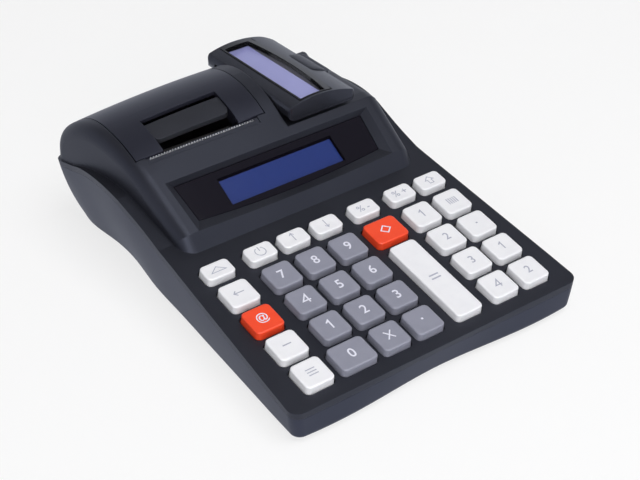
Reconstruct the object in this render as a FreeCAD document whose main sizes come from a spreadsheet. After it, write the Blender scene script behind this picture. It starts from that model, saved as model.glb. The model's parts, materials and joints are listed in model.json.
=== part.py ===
import FreeCAD, Part
import math
import os
import Sketcher

# A desk-top ticket register: a low, waisted case with a keypad deck in front, a raised
# housing behind it with the operator's display, a ticket printer under a hinged cover on
# the left and a flip-up customer display lying in a trough on the right.
# Lengths are in millimetres. The origin is the middle of the footprint, on the desk.
# Names that end in _y are distances behind the front edge of the deck, and names that end
# in _z are heights above the underside of the case.

Vector = FreeCAD.Vector
UP = Vector(0, 0, 1)
RIGHT = Vector(1, 0, 0)
BACK = Vector(0, 1, 0)

# Case outline
CASE = {
    "case_length": 210.0,
    "front_half_width": 80.8,
    "waist_inset": 5.8,
    "rear_inset": 4.2,
    "waist_y": 118.0,
    "rear_edge_y": 160.0,
    "front_foot_inset": 2.1,
    "waist_foot_inset": 11.2,
    "rear_foot_inset": 15.4,
    "tail_foot_inset": 13.2,
    "waist_foot_y": 128.0,
    "rear_foot_y": 158.0,
    "front_corner_radius": 5.0,
    "rear_corner_radius": 7.0,
    "foot_edge_radius": 2.5,
    "rear_bow": 2.5,
    "front_inset_corner": 2.6,
    "front_inset_shoulder": 0.4,
    "front_inset_middle": 3.3,
    "front_shoulder_x": 43.0,
    "wall": 2.2,
    "floor_wall": 2.4,
    "deck_wall": 2.4,
    "deck_front_z": 15.2,
    "deck_end_y": 112.0,
    "ledge_mid_y": 129.0,
    "ledge_mid_z": 37.8,
    "ledge_rise_y": 146.0,
    "ledge_rise_z": 42.9,
    "ledge_top_y": 164.0,
    "ledge_top_z": 44.2,
    "ledge_fall_y": 190.0,
    "ledge_fall_z": 38.6,
    "lip_height": 3.2,
    "seam_gap": 0.1,
    "overrun": 6.0,
}

# Raised housing
HOUSING = {
    "housing_foot_y": 102.2,
    "housing_chin_y": 107.3,
    "housing_foot_inset": 14.6,
    "housing_rear_inset": 9.2,
    "housing_tail_inset": 5.2,
    "housing_rear_y": 160.0,
    "housing_tail_y": 194.0,
    "housing_lean": 1.6,
    "crest_y": 174.0,
    "crest_z": 67.6,
    "crest_drop": 5.1,
    "crest_front_radius": 54.9,
    "crest_rear_radius": 42.0,
    "crest_tail_radius": 16.8,
    "housing_base_z": 26.0,
    "housing_edge_radius": 7.0,
}

# Operator display
DISPLAY = {
    "recess_bottom_half_width": 56.3,
    "recess_top_half_width": 59.0,
    "recess_height": 28.0,
    "recess_depth": 2.7,
    "lens_bottom_up": 5.7,
    "lens_top_up": 26.2,
    "lens_bottom_half_width": 52.3,
    "lens_top_half_width": 54.4,
    "lens_bow": 2.4,
    "lens_thickness": 1.6,
    "lens_gap": 0.12,
    "pan_depth": 6.0,
    "pan_border": 2.5,
    "sight_width": 69.0,
    "sight_height": 17.0,
    "lcd_centre_up": 14.9,
    "lcd_view_width": 65.0,
    "lcd_view_height": 14.2,
    "lcd_module_width": 78.0,
    "lcd_module_height": 23.0,
    "lcd_bezel_depth": 3.2,
    "lcd_board_depth": 1.6,
    "lcd_board_border": 1.5,
    "lcd_glass_sink": 0.4,
}

# Keypad
KEYPAD = {
    "key_pitch_x": 18.5,
    "key_pitch_y": 18.3,
    "digit_column_x": -37.9,
    "function_step": 23.1,
    "total_step": 22.0,
    "department_step": 21.9,
    "bottom_row_up": 14.6,
    "top_row_step": 17.4,
    "key_width": 15.3,
    "small_key_depth": 10.4,
    "wide_key_width": 19.3,
    "subtotal_key_width": 18.3,
    "key_height": 3.6,
    "key_corner_radius": 2.4,
    "key_top_bevel": 0.7,
    "key_hole_gap": 0.35,
    "key_travel": 2.0,
    "key_flange_lip": 0.9,
    "key_flange_thickness": 0.9,
    "key_flange_gap": 0.1,
    "plunger_radius": 2.6,
    "plunger_length": 0.9,
    "mat_gap": 0.3,
    "mat_thickness": 1.0,
    "mat_pad_height": 0.8,
    "mat_pad_radius": 3.4,
    "board_thickness": 1.6,
    "keypad_half_width": 66.0,
    "keypad_front_up": 5.6,
    "keypad_rear_up": 93.2,
    "board_fit": 0.15,
}

# Ticket printer
PRINTER = {
    "cover_left_x": -64.8,
    "cover_right_x": 7.2,
    "cover_front_y": 146.0,
    "cover_wall": 2.0,
    "cover_gap": 0.5,
    "window_width": 42.0,
    "window_rear_y": 167.0,
    "window_rib": 1.6,
    "window_rib_depth": 7.0,
    "lever_front_y": 153.0,
    "lever_rear_y": 164.0,
    "lever_thickness": 2.2,
    "lever_sink": 1.0,
    "lever_gap": 0.3,
    "lever_corner_radius": 3.0,
    "lever_axis_y": 162.2,
    "trunnion_radius": 0.8,
    "trunnion_length": 1.2,
    "trunnion_gap": 0.08,
    "window_rib_y": 151.0,
    "platen_y": 153.5,
    "platen_z": 49.0,
    "platen_radius": 4.6,
    "platen_length": 57.0,
    "platen_shaft_radius": 1.5,
    "lug_thickness": 2.0,
    "lug_half_depth": 3.6,
    "lug_gap": 0.4,
    "gear_width": 2.6,
    "gear_module": 0.6,
    "platen_gear_teeth": 20.0,
    "drive_gear_teeth": 14.0,
    "gear_backlash": 0.12,
    "gear_root_share": 1.25,
    "tooth_root_share": 0.68,
    "tooth_tip_share": 0.26,
    "plate_thickness": 2.0,
    "shaft_fit": 0.05,
    "motor_radius": 4.6,
    "motor_length": 14.0,
    "motor_shaft_radius": 1.0,
    "head_gap": 0.15,
    "head_thickness": 2.4,
    "head_height": 15.0,
    "head_length": 56.0,
    "head_low_z": 40.0,
    "tear_length": 58.6,
    "tear_height": 7.0,
    "tear_thickness": 0.8,
    "tear_top_z": 59.2,
    "tear_tooth_pitch": 1.5,
    "tear_tooth_depth": 0.9,
    "tear_y": 144.6,
    "tear_step_depth": 0.6,
    "tear_step_front_y": 142.4,
    "tear_step_margin": 2.0,
    "bay_y": 181.5,
    "bay_z": 34.0,
    "bay_radius": 22.5,
    "bay_wall": 1.8,
    "bay_rim_z": 31.5,
    "frame_front_top_y": 160.0,
    "frame_rear_top_y": 190.0,
    "frame_rear_y": 205.0,
    "frame_top_z": 50.0,
    "frame_low_z": 44.0,
    "frame_bar_z": 36.0,
    "hinge_y": 203.8,
    "hinge_z": 41.0,
    "hinge_wall_z": 38.0,
    "cover_rear_z": 44.2,
    "hinge_pin_radius": 1.2,
    "knuckle_radius": 2.6,
    "knuckle_length": 9.0,
    "knuckle_gap": 0.4,
}

# Customer display
POD = {
    "pod_front_y": 136.2,
    "pod_rear_y": 209.6,
    "pod_axis_x": 18.6,
    "pod_axis_z": 60.2,
    "pod_barrel_radius": 4.0,
    "pod_right_x": 55.0,
    "pod_crown_x": 33.0,
    "pod_crown_z": 66.0,
    "pod_edge_z": 61.6,
    "pod_wall": 1.8,
    "pod_base_thickness": 1.3,
    "pod_window_left_x": 22.4,
    "pod_window_right_x": 42.0,
    "pod_window_margin": 1.5,
    "pod_window_thickness": 1.2,
    "pod_window_sink": 0.5,
    "pod_window_gap": 0.12,
    "pod_lcd_width": 13.8,
    "pod_lcd_length": 66.5,
    "pod_lcd_left_x": 23.6,
    "pod_lcd_thickness": 2.4,
    "pod_lcd_gap": 0.15,
    "pod_front_radius": 2.5,
    "pod_rear_radius": 8.0,
    "pod_rear_left_radius": 3.0,
    "pod_tab_length": 24.0,
    "pod_tab_y": 172.0,
    "pod_tab_reach": 2.6,
    "pod_tab_thickness": 3.6,
    "pod_pin_radius": 1.2,
    "pod_lug_length": 7.0,
    "pod_lug_radius": 2.4,
    "pod_lug_y": 150.0,
    "pod_lug_step": 44.0,
    "pod_lug_gap": 0.4,
    "trough_floor_gap": 1.7,
    "trough_left_x": 14.0,
    "shoulder_x": 48.0,
    "shoulder_front_y": 142.0,
}

# Inner pieces and base
BASE = {
    "foot_height": 2.0,
    "foot_radius": 6.0,
    "foot_inlay": 0.8,
    "foot_x": 57.0,
    "foot_front_y": 18.0,
    "foot_rear_y": 186.0,
    "screw_head_radius": 2.8,
    "screw_shank_radius": 1.5,
    "screw_head_height": 2.2,
    "screw_length": 9.0,
    "screw_front_x": 64.0,
    "screw_front_y": 98.5,
    "screw_left_x": 63.0,
    "screw_left_y": 139.0,
    "screw_right_x": 60.0,
    "screw_right_y": 199.0,
    "screw_pad_height": 4.8,
    "screw_fit": 0.2,
    "boss_radius": 3.6,
    "post_radius": 2.6,
    "post_x": 55.0,
    "post_front_y": 18.0,
    "post_step": 34.0,
    "main_board_half_width": 58.0,
    "main_board_front_y": 104.0,
    "main_board_rear_y": 134.0,
    "main_post_inset": 3.5,
    "main_board_z": 9.0,
    "chip_size": 14.0,
    "chip_height": 2.0,
    "small_chip_share": 0.6,
    "battery_x": 30.0,
    "battery_y": 168.0,
    "battery_width": 34.0,
    "battery_length": 44.0,
    "battery_height": 19.0,
    "battery_gap": 0.2,
    "bay_wall_height": 12.0,
    "door_width": 38.0,
    "door_length": 48.0,
    "door_fit": 0.2,
    "jack_x": 30.0,
    "jack_z": 13.0,
    "jack_width": 9.0,
    "jack_rim": 1.0,
    "jack_depth": 12.0,
    "jack_bore_radius": 3.0,
    "jack_bore_depth": 9.0,
    "jack_pin_radius": 1.0,
    "jack_fit": 0.1,
}

# Angles in degrees, the same at any size
ANGLES = {
    "deck_angle": 8.88,
    "face_angle": 29.0,
    "chin_angle": 54.7,
    "crest_rear_angle": 40.0,
    "key_taper": 3.4,
    "pod_pitch": 2.0,
    "shoulder_pitch": 7.6,
}

# Where the convex side wall passes at half its height, as a share of the foot's inset
SIDE_MIDDLE_SHARE = 0.36

# Number of spans in the lofted side walls and in the housing's flanks
SIDE_STEPS = 10
FLANK_STEPS = 6


def make_sheet(doc):
    """Write every driving dimension to the sheet and return a reader for its cells."""
    sheet = doc.addObject("Spreadsheet::Sheet", "Sizes")
    row = 1
    for group in (CASE, HOUSING, DISPLAY, KEYPAD, PRINTER, POD, BASE, ANGLES):
        for alias, value in group.items():
            cell = "B%d" % row
            sheet.set("A%d" % row, alias)
            sheet.set(cell, str(value))
            sheet.setAlias(cell, alias)
            row += 1
    doc.recompute()
    return sheet


doc = FreeCAD.newDocument("ticket_register")
sheet = make_sheet(doc)


class Sizes:
    """Gives each cell of the sheet as an attribute, such as size.wall."""

    def __getattr__(self, alias):
        return float(getattr(sheet, alias))


size = Sizes()
parts = []


def at(x, y, z):
    """A point from a side offset, a distance behind the front edge and a case height."""
    return Vector(x, y - size.case_length / 2, z + size.foot_height)


def feature(label, shape, placement=None):
    """Keep a shape made with Part's own functions as a sub-part."""
    node = doc.addObject("Part::Feature", label)
    node.Label = label
    node.Shape = shape
    if placement is not None:
        node.Placement = placement
    parts.append(node)
    return node


def slab(low, high):
    """A box between two corners."""
    return Part.makeBox(high.x - low.x, high.y - low.y, high.z - low.z, low)


def rod(radius, length, start, direction):
    return Part.makeCylinder(radius, length, start, direction)


def rounded_slab(width, depth, height, radius, centre):
    """A box with four rounded upright edges, standing on its centre point."""
    box = Part.makeBox(width, depth, height, centre - Vector(width / 2, depth / 2, 0))
    upright = [e for e in box.Edges if abs(e.tangentAt(e.FirstParameter).z) > 0.9]
    return box.makeFillet(radius, upright)


def prism(points, direction):
    """A solid swept straight from a closed polygon."""
    return Part.Face(Part.makePolygon(points + [points[0]])).extrude(direction)


def slope(angle):
    return math.tan(math.radians(angle))


def deck_height(y):
    return size.deck_front_z + slope(size.deck_angle) * y


def deck_frame():
    """The deck's own frame: x to the right, y up the slope and z out of the deck."""
    turn = FreeCAD.Rotation(RIGHT, size.deck_angle)
    return FreeCAD.Placement(at(0, 0, size.deck_front_z), turn)


# Case shell

def side_section(y, foot, edge, edge_z, inset, base, top):
    """A cross-section of the case: a convex side wall that runs on above the deck edge."""
    middle = edge - (edge - foot) * SIDE_MIDDLE_SHARE
    foot_point = at(foot - inset, y, base)
    mid_point = at(middle - inset, y, edge_z / 2)
    edge_point = at(edge - inset, y, edge_z)
    curve = Part.Circle(foot_point, mid_point, edge_point)
    # The curve runs on past the deck edge, so that no seam lies in the deck's surface.
    finish = curve.parameter(edge_point) + size.lip_height / curve.Radius
    join = curve.value(finish)
    lean = curve.tangent(finish)[0]
    top_point = join + lean * ((top - join.z) / lean.z)

    def mirrored(point):
        return Vector(-point.x, point.y, point.z)

    right = Part.Arc(foot_point, mid_point, join).toShape()
    right_up = Part.makeLine(join, top_point)
    across = Part.makeLine(top_point, mirrored(top_point))
    left_up = Part.makeLine(mirrored(top_point), mirrored(join))
    left = Part.Arc(mirrored(join), mirrored(mid_point), mirrored(foot_point)).toShape()
    under = Part.makeLine(mirrored(foot_point), foot_point)
    return Part.Wire([right, right_up, across, left_up, left, under])


def ease(y, start, finish, low, high):
    """A smooth change from one value to another between two distances."""
    share = min(max((y - start) / (finish - start), 0), 1)
    return low + (high - low) * (1 - math.cos(math.pi * share)) / 2


def edge_half_width(y):
    """Half the width along the deck edge: tapering to the waist, then widening a little."""
    if y < size.waist_y:
        return size.front_half_width - size.waist_inset * y / size.waist_y
    inset = ease(y, size.waist_y, size.rear_edge_y, size.waist_inset, size.rear_inset)
    return size.front_half_width - inset


def foot_half_width(y):
    """Half the width of the underside: waisted behind the keypad and wider at the tail."""
    if y < size.waist_foot_y:
        taper = size.waist_foot_inset - size.front_foot_inset
        inset = size.front_foot_inset + taper * y / size.waist_foot_y
    elif y < size.rear_foot_y:
        inset = ease(y, size.waist_foot_y, size.rear_foot_y,
                     size.waist_foot_inset, size.rear_foot_inset)
    else:
        inset = ease(y, size.rear_foot_y, size.case_length,
                     size.rear_foot_inset, size.tail_foot_inset)
    return size.front_half_width - inset


def edge_height(y):
    """Height of the deck edge and of the ledge that follows it."""
    if y < size.deck_end_y:
        return deck_height(y)
    rise = ease(y, size.deck_end_y, size.ledge_top_y, deck_height(size.deck_end_y),
                size.ledge_top_z)
    fall = ease(y, size.ledge_top_y, size.case_length, 0, size.ledge_top_z - size.ledge_fall_z)
    return rise - fall


def side_stations():
    """Where the case is measured along its length: y, foot, edge and edge height."""
    whole = size.case_length + 2 * size.overrun
    steps = [-size.overrun + whole * step / SIDE_STEPS for step in range(SIDE_STEPS + 1)]
    return [(y, foot_half_width(y), edge_half_width(y), edge_height(y)) for y in steps]


def hull_block(inset, base):
    """The case as a full block between its side walls, up past the ledge."""
    top = size.ledge_top_z + size.overrun
    wires = [side_section(y, foot, edge, edge_z, inset, base, top)
             for y, foot, edge, edge_z in side_stations()]
    return Part.makeLoft(wires, True, False)


def front_cutter(inset):
    """What lies in front of the case: straight along the deck edge, waved at the foot."""
    reach = size.front_half_width + size.overrun
    before = -4 * size.overrun

    def outline(z, share):
        """The wave at a height, where share is 1 at the foot and 0 at the deck edge."""
        corner = size.front_inset_corner * share + inset
        shoulder = size.front_inset_shoulder * share + inset
        middle = size.front_inset_middle * share + inset
        shoulder_x = size.front_shoulder_x
        wave = Part.BSplineCurve()
        wave.interpolate([
            at(-reach, corner, z),
            at(-shoulder_x, shoulder, z),
            at(0, middle, z),
            at(shoulder_x, shoulder, z),
            at(reach, corner, z),
        ])
        right = Part.makeLine(at(reach, corner, z), at(reach, before, z))
        across = Part.makeLine(at(reach, before, z), at(-reach, before, z))
        left = Part.makeLine(at(-reach, before, z), at(-reach, corner, z))
        return Part.Wire([wave.toShape(), right, across, left])

    below = outline(-size.deck_front_z, 2)
    above = outline(2 * size.deck_front_z + size.ledge_top_z, -1 - size.ledge_top_z / size.deck_front_z)
    return Part.makeLoft([below, above], True, True)


def rear_keeper(inset):
    """Everything in front of the bowed rear wall."""
    half = size.front_half_width + size.overrun
    corner_y = size.case_length - size.rear_bow - inset
    bow = Part.Arc(at(half, corner_y, -size.overrun),
                   at(0, size.case_length - inset, -size.overrun),
                   at(-half, corner_y, -size.overrun)).toShape()
    before = -2 * size.overrun
    left = Part.makeLine(at(-half, corner_y, -size.overrun), at(-half, before, -size.overrun))
    front = Part.makeLine(at(-half, before, -size.overrun), at(half, before, -size.overrun))
    right = Part.makeLine(at(half, before, -size.overrun), at(half, corner_y, -size.overrun))
    face = Part.Face(Part.Wire([bow, left, front, right]))
    return face.extrude(UP * (size.crest_z + 3 * size.overrun))


def upright_edges(shape, low_y, high_y):
    """Edges that run mainly upwards between two distances behind the front."""
    found = []
    for edge in shape.Edges:
        box = edge.BoundBox
        tall = box.ZLength > size.deck_front_z / 2 and box.ZLength > box.XLength * 0.9
        middle = (box.YMin + box.YMax) / 2 + size.case_length / 2
        if tall and box.ZLength > box.YLength and low_y < middle < high_y:
            found.append(edge)
    return found


def foot_edges(shape):
    """The edges around the underside."""
    level = min(v.Point.z for v in shape.Vertexes)
    return [e for e in shape.Edges
            if e.BoundBox.ZMax < level + size.seam_gap]


def hull(inset, base):
    """The case block with its front, rear and rounded corners, before the deck is cut."""
    block = hull_block(inset, base).cut(front_cutter(inset))
    block = block.common(rear_keeper(inset))
    front = upright_edges(block, -size.overrun, size.waist_y / 2)
    block = block.makeFillet(size.front_corner_radius - inset / 2, front)
    rear = upright_edges(block, size.ledge_fall_y, size.case_length + size.overrun)
    block = block.makeFillet(size.rear_corner_radius - inset, rear)
    return block


def deck_profile(drop):
    """The deck and ledge line as seen from the side, lowered by a drop."""
    before = -2 * size.overrun
    end = size.case_length + 2 * size.overrun
    deck = Part.makeLine(at(0, before, deck_height(before) - drop),
                         at(0, size.deck_end_y, deck_height(size.deck_end_y) - drop))
    rise = Part.Arc(at(0, size.deck_end_y, deck_height(size.deck_end_y) - drop),
                    at(0, size.ledge_mid_y, size.ledge_mid_z - drop),
                    at(0, size.ledge_rise_y, size.ledge_rise_z - drop)).toShape()
    over = Part.Arc(at(0, size.ledge_rise_y, size.ledge_rise_z - drop),
                    at(0, size.ledge_top_y, size.ledge_top_z - drop),
                    at(0, size.ledge_fall_y, size.ledge_fall_z - drop)).toShape()
    fall_slope = (size.ledge_top_z - size.ledge_fall_z) / (size.ledge_fall_y - size.ledge_top_y)
    end_z = size.ledge_fall_z - fall_slope * (end - size.ledge_fall_y)
    fall = Part.makeLine(at(0, size.ledge_fall_y, size.ledge_fall_z - drop),
                         at(0, end, end_z - drop))
    return [deck, rise, over, fall]


def below_deck(drop):
    """Everything under the deck and ledge line, lowered by a drop."""
    edges = deck_profile(drop)
    start = edges[0].Vertexes[0].Point
    finish = edges[-1].Vertexes[1].Point
    floor_z = -3 * size.overrun
    low_start = Vector(start.x, start.y, floor_z)
    low_finish = Vector(finish.x, finish.y, floor_z)
    edges.append(Part.makeLine(finish, low_finish))
    edges.append(Part.makeLine(low_finish, low_start))
    edges.append(Part.makeLine(low_start, start))
    face = Part.Face(Part.Wire(edges))
    half = size.front_half_width + size.overrun
    face.translate(RIGHT * -half)
    return face.extrude(RIGHT * (2 * half))


# Raised housing

def crest_height(x):
    """Height of the crest at a side offset: it is crowned between the flanks."""
    return size.crest_z - size.crest_drop * (x / size.front_half_width) ** 2


def front_arc_radius(x):
    """Radius of the arc from the flat display face up to the crest, at a side offset."""
    turn = math.cos(math.radians(size.face_angle))
    return size.crest_front_radius + (size.crest_z - crest_height(x)) * turn / (1 - turn)


def housing_line(x, inset):
    """The housing's side profile at a side offset, as a wire drawn in by an inset."""
    face_angle = math.radians(size.face_angle)
    chin_angle = math.radians(size.chin_angle)
    rear_angle = math.radians(size.crest_rear_angle)
    top_z = crest_height(x)
    crest = at(x, size.crest_y, top_z - inset)

    def on_front(angle):
        radius = front_arc_radius(x)
        return at(x, size.crest_y - (radius - inset) * math.sin(angle),
                  top_z - radius + (radius - inset) * math.cos(angle))

    def on_rear(angle):
        radius = size.crest_rear_radius
        return at(x, size.crest_y + (radius - inset) * math.sin(angle),
                  top_z - radius + (radius - inset) * math.cos(angle))

    def on_tail(angle):
        radius = size.crest_tail_radius
        shift = size.crest_rear_radius - radius
        return at(x, size.crest_y + shift * math.sin(rear_angle)
                  + (radius - inset) * math.sin(angle),
                  top_z - size.crest_rear_radius + shift * math.cos(rear_angle)
                  + (radius - inset) * math.cos(angle))

    face_top = on_front(face_angle)
    chin = at(x, size.housing_chin_y, face_height(size.housing_chin_y))
    # The chin corner moves along the bisector of the two faces that meet there.
    half_turn = (chin_angle - face_angle) / 2
    bisector = (chin_angle + face_angle) / 2
    shift = inset / math.cos(half_turn)
    chin = chin + Vector(0, math.sin(bisector), -math.cos(bisector)) * shift
    drop = chin.z - size.foot_height - size.housing_base_z
    foot = chin - Vector(0, drop / math.tan(chin_angle), drop)
    tail = on_rear(rear_angle)
    tail_middle = on_tail((rear_angle + math.pi / 2) / 2)
    heel = on_tail(math.pi / 2)
    heel_foot = Vector(heel.x, heel.y, foot.z)
    edges = [
        Part.makeLine(foot, chin),
        Part.makeLine(chin, face_top),
        Part.Arc(face_top, on_front(face_angle / 2), crest).toShape(),
        Part.Arc(crest, on_rear(rear_angle / 2), tail).toShape(),
        Part.Arc(tail, tail_middle, heel).toShape(),
        Part.makeLine(heel, heel_foot),
        Part.makeLine(heel_foot, foot),
    ]
    return Part.Wire(edges)


def face_height(y):
    """Height of the display face at a distance behind the front."""
    angle = math.radians(size.face_angle)
    radius = size.crest_front_radius
    top_y = size.crest_y - radius * math.sin(angle)
    top_z = size.crest_z - radius + radius * math.cos(angle)
    return top_z - (top_y - y) * math.tan(angle)


def chin_point():
    return at(0, size.housing_chin_y, face_height(size.housing_chin_y))


def flank_half_width(y):
    """Half the width of the housing where it stands on the ledge."""
    if y < size.housing_rear_y:
        run = (y - size.housing_foot_y) / (size.housing_rear_y - size.housing_foot_y)
        spread = size.housing_foot_inset - size.housing_rear_inset
        inset = size.housing_foot_inset - spread * run
    else:
        inset = ease(y, size.housing_rear_y, size.housing_tail_y,
                     size.housing_rear_inset, size.housing_tail_inset)
    return size.front_half_width - inset


def flank_stations():
    """Half widths of the housing at even steps, from before its foot to behind the case."""
    start = size.housing_foot_y - size.overrun
    whole = size.case_length + size.overrun - start
    steps = [start + whole * step / FLANK_STEPS for step in range(FLANK_STEPS + 1)]
    return [(y, flank_half_width(y)) for y in steps]


def flank_block(inset):
    """The housing as a block between its leaning flanks."""
    low = size.housing_base_z - size.overrun
    high = size.crest_z + size.overrun
    wires = []
    for y, half in flank_stations():
        foot = half - inset + size.housing_lean / 2
        top = half - inset - size.housing_lean
        corners = [at(foot, y, low), at(top, y, high), at(-top, y, high), at(-foot, y, low)]
        wires.append(Part.makePolygon(corners + [corners[0]]))
    return Part.makeLoft(wires, True, False)


def housing(inset):
    """The housing's solid between its side profile and its flanks."""
    half = size.front_half_width + size.overrun
    lines = [housing_line(x, inset) for x in (-half, 0, half)]
    return Part.makeLoft(lines, True, False).common(flank_block(inset))


def crest_edges(shape):
    """The long edges between the flanks and the top, from the chin to the rear."""
    found = []
    for edge in shape.Edges:
        box = edge.BoundBox
        side = min(abs(box.XMin), abs(box.XMax)) > size.recess_top_half_width
        high = box.ZMax > chin_point().z - size.seam_gap
        long = box.ZLength > size.overrun / 2 or box.YLength > size.overrun
        if side and high and long:
            found.append(edge)
    return found


def soft_housing(inset):
    """The housing over the trough's floor, drawn in by an inset and rounded at its crest."""
    block = housing(inset).cut(trough(inset))
    return block.makeFillet(size.housing_edge_radius - inset, crest_edges(block))


def case_block():
    """The whole case below the deck and ledge line, with its foot edge rounded."""
    block = hull(0, 0)
    block = block.makeFillet(size.foot_edge_radius, foot_edges(block))
    return block.common(below_deck(0))


def case_hollow():
    """The room inside the case, under the deck and over the floor."""
    return hull(size.wall, size.floor_wall).common(below_deck(size.deck_wall))




# Keypad layout

def key_rows():
    """Distances of the key rows up the deck, the bottom row first."""
    rows = [size.bottom_row_up + size.key_pitch_y * step for step in range(4)]
    return rows + [rows[3] + size.top_row_step]


def key_columns():
    """Side offsets of the seven key columns, from left to right."""
    first = size.digit_column_x
    digits = [first + size.key_pitch_x * step for step in range(3)]
    total = digits[2] + size.total_step
    department = total + size.department_step
    payment = department + size.key_pitch_x
    return [first - size.function_step] + digits + [total, department, payment]


KEY_NAMES = (
    ("lookup", "0", "multiply", "point", None, "department_4", "payment_2"),
    ("void", "1", "2", "3", None, "department_3", "payment_1"),
    ("price", "4", "5", "6", None, "department_2", "function"),
    ("clear", "7", "8", "9", "subtotal", "department_1", "code"),
    ("feed", "power", "up", "down", "minus_percent", "plus_percent", "shift"),
)


def key_layout():
    """Every key as its name, side offset, distance up the deck and two size names."""
    layout = []
    for row, (up, names) in enumerate(zip(key_rows(), KEY_NAMES)):
        for x, name in zip(key_columns(), names):
            if name is None:
                continue
            width = "key_width"
            depth = "small_key_depth" if row == 4 else "key_width"
            if name == "subtotal":
                width = "subtotal_key_width"
            if name == "0":
                width = "wide_key_width"
                x = x - (size.wide_key_width - size.key_width) / 2
            layout.append(("key_" + name, x, up, width, depth))
    total_x = key_columns()[4]
    layout.append(("key_total", total_x, key_rows()[1], "key_width", "total"))
    return layout


def key_depth(depth):
    """Depth of a key up the deck: the total key spans three rows."""
    if depth == "total":
        return size.key_width + 2 * size.key_pitch_y
    return getattr(size, depth)


def key_depth_expression(depth):
    if depth == "total":
        return "Sizes.key_width + 2 * Sizes.key_pitch_y"
    return "Sizes." + depth


# Keys, as bodies drawn on their own planes

def plane_of(body, role):
    return [f for f in body.Origin.OriginFeatures if f.Role == role][0]


def rectangle(body, name, width, depth, height):
    """A centred rectangle on the body's ground plane, bound to the sheet."""
    sketch = body.newObject("Sketcher::SketchObject", name)
    sketch.AttachmentSupport = (plane_of(body, "XY_Plane"), [""])
    sketch.MapMode = "FlatFace"
    sketch.setExpression("AttachmentOffset.Base.z", height)
    corners = [Vector(-1, -1, 0), Vector(1, -1, 0), Vector(1, 1, 0), Vector(-1, 1, 0)]
    for index in range(4):
        sketch.addGeometry(Part.LineSegment(corners[index], corners[(index + 1) % 4]), False)
    for index in range(4):
        sketch.addConstraint(
            Sketcher.Constraint("Coincident", index, 2, (index + 1) % 4, 1))
    for index in (0, 2):
        sketch.addConstraint(Sketcher.Constraint("Horizontal", index))
    for index in (1, 3):
        sketch.addConstraint(Sketcher.Constraint("Vertical", index))
    sketch.addConstraint(Sketcher.Constraint("Symmetric", 0, 1, 2, 1, -1, 1))
    across = sketch.addConstraint(Sketcher.Constraint("DistanceX", 0, 1, 0, 2, 2))
    along = sketch.addConstraint(Sketcher.Constraint("DistanceY", 1, 1, 1, 2, 2))
    sketch.setExpression("Constraints[%d]" % across, width)
    sketch.setExpression("Constraints[%d]" % along, depth)
    return sketch


def circle(body, name, radius, height):
    """A circle on the body's ground plane, bound to the sheet."""
    sketch = body.newObject("Sketcher::SketchObject", name)
    sketch.AttachmentSupport = (plane_of(body, "XY_Plane"), [""])
    sketch.MapMode = "FlatFace"
    sketch.setExpression("AttachmentOffset.Base.z", height)
    sketch.addGeometry(Part.Circle(Vector(), UP, 1), False)
    sketch.addConstraint(Sketcher.Constraint("Coincident", 0, 3, -1, 1))
    bound = sketch.addConstraint(Sketcher.Constraint("Radius", 0, 1))
    sketch.setExpression("Constraints[%d]" % bound, radius)
    return sketch


def pad(body, sketch, name, length, down=False):
    solid = body.newObject("PartDesign::Pad", name)
    solid.Profile = sketch
    solid.setExpression("Length", length)
    solid.Reversed = down
    return solid


def key_edges(shape, upright):
    """Names of a cap's corner edges, or of the edges around its top."""
    top = max(vertex.Point.z for vertex in shape.Vertexes)
    found = []
    for index, edge in enumerate(shape.Edges):
        box = edge.BoundBox
        is_upright = box.ZLength > box.XLength and box.ZLength > box.YLength
        around_top = box.ZLength < size.seam_gap / 2 and abs(box.ZMax - top) < size.seam_gap / 2
        if (upright and is_upright) or (not upright and around_top):
            found.append("Edge%d" % (index + 1))
    return found


def make_key(name, x, up, width, depth):
    """A tapered key cap with a retaining flange under the deck and a plunger."""
    body = doc.addObject("PartDesign::Body", name)
    body.Label = name
    wide = "Sizes." + width
    deep = key_depth_expression(depth)
    under = "-(Sizes.deck_wall + Sizes.key_flange_gap)"
    cap_sketch = rectangle(body, name + "_cap_outline", wide, deep, under)
    cap = pad(body, cap_sketch, name + "_cap",
              "Sizes.key_height + Sizes.deck_wall + Sizes.key_flange_gap")
    cap.setExpression("TaperAngle", "-Sizes.key_taper")
    doc.recompute()
    corners = body.newObject("PartDesign::Fillet", name + "_corners")
    corners.Base = (cap, key_edges(cap.Shape, True))
    corners.setExpression("Radius", "Sizes.key_corner_radius")
    doc.recompute()
    bevel = body.newObject("PartDesign::Chamfer", name + "_bevel")
    bevel.Base = (corners, key_edges(corners.Shape, False))
    bevel.setExpression("Size", "Sizes.key_top_bevel")
    flange_sketch = rectangle(body, name + "_flange_outline",
                              wide + " + 2 * Sizes.key_flange_lip",
                              deep + " + 2 * Sizes.key_flange_lip", under)
    pad(body, flange_sketch, name + "_flange", "Sizes.key_flange_thickness", True)
    plunger_sketch = circle(body, name + "_plunger_outline", "Sizes.plunger_radius",
                            under + " - Sizes.key_flange_thickness")
    plunger = pad(body, plunger_sketch, name + "_plunger", "Sizes.plunger_length", True)
    body.Tip = plunger
    body.Placement = deck_frame().multiply(FreeCAD.Placement(Vector(x, up, 0),
                                                             FreeCAD.Rotation()))
    parts.append(body)


def key_holes():
    """The holes in the deck that the key caps rise through."""
    tools = []
    depth = size.deck_wall + 2 * size.overrun
    for name, x, up, width, deep in key_layout():
        gap = 2 * size.key_hole_gap
        tool = rounded_slab(getattr(size, width) + gap, key_depth(deep) + gap, depth,
                            size.key_corner_radius + size.key_hole_gap,
                            Vector(x, up, -size.deck_wall - size.overrun))
        tools.append(tool)
    holes = Part.makeCompound(tools)
    holes.Placement = deck_frame()
    return holes


# Boards under the keypad

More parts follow.
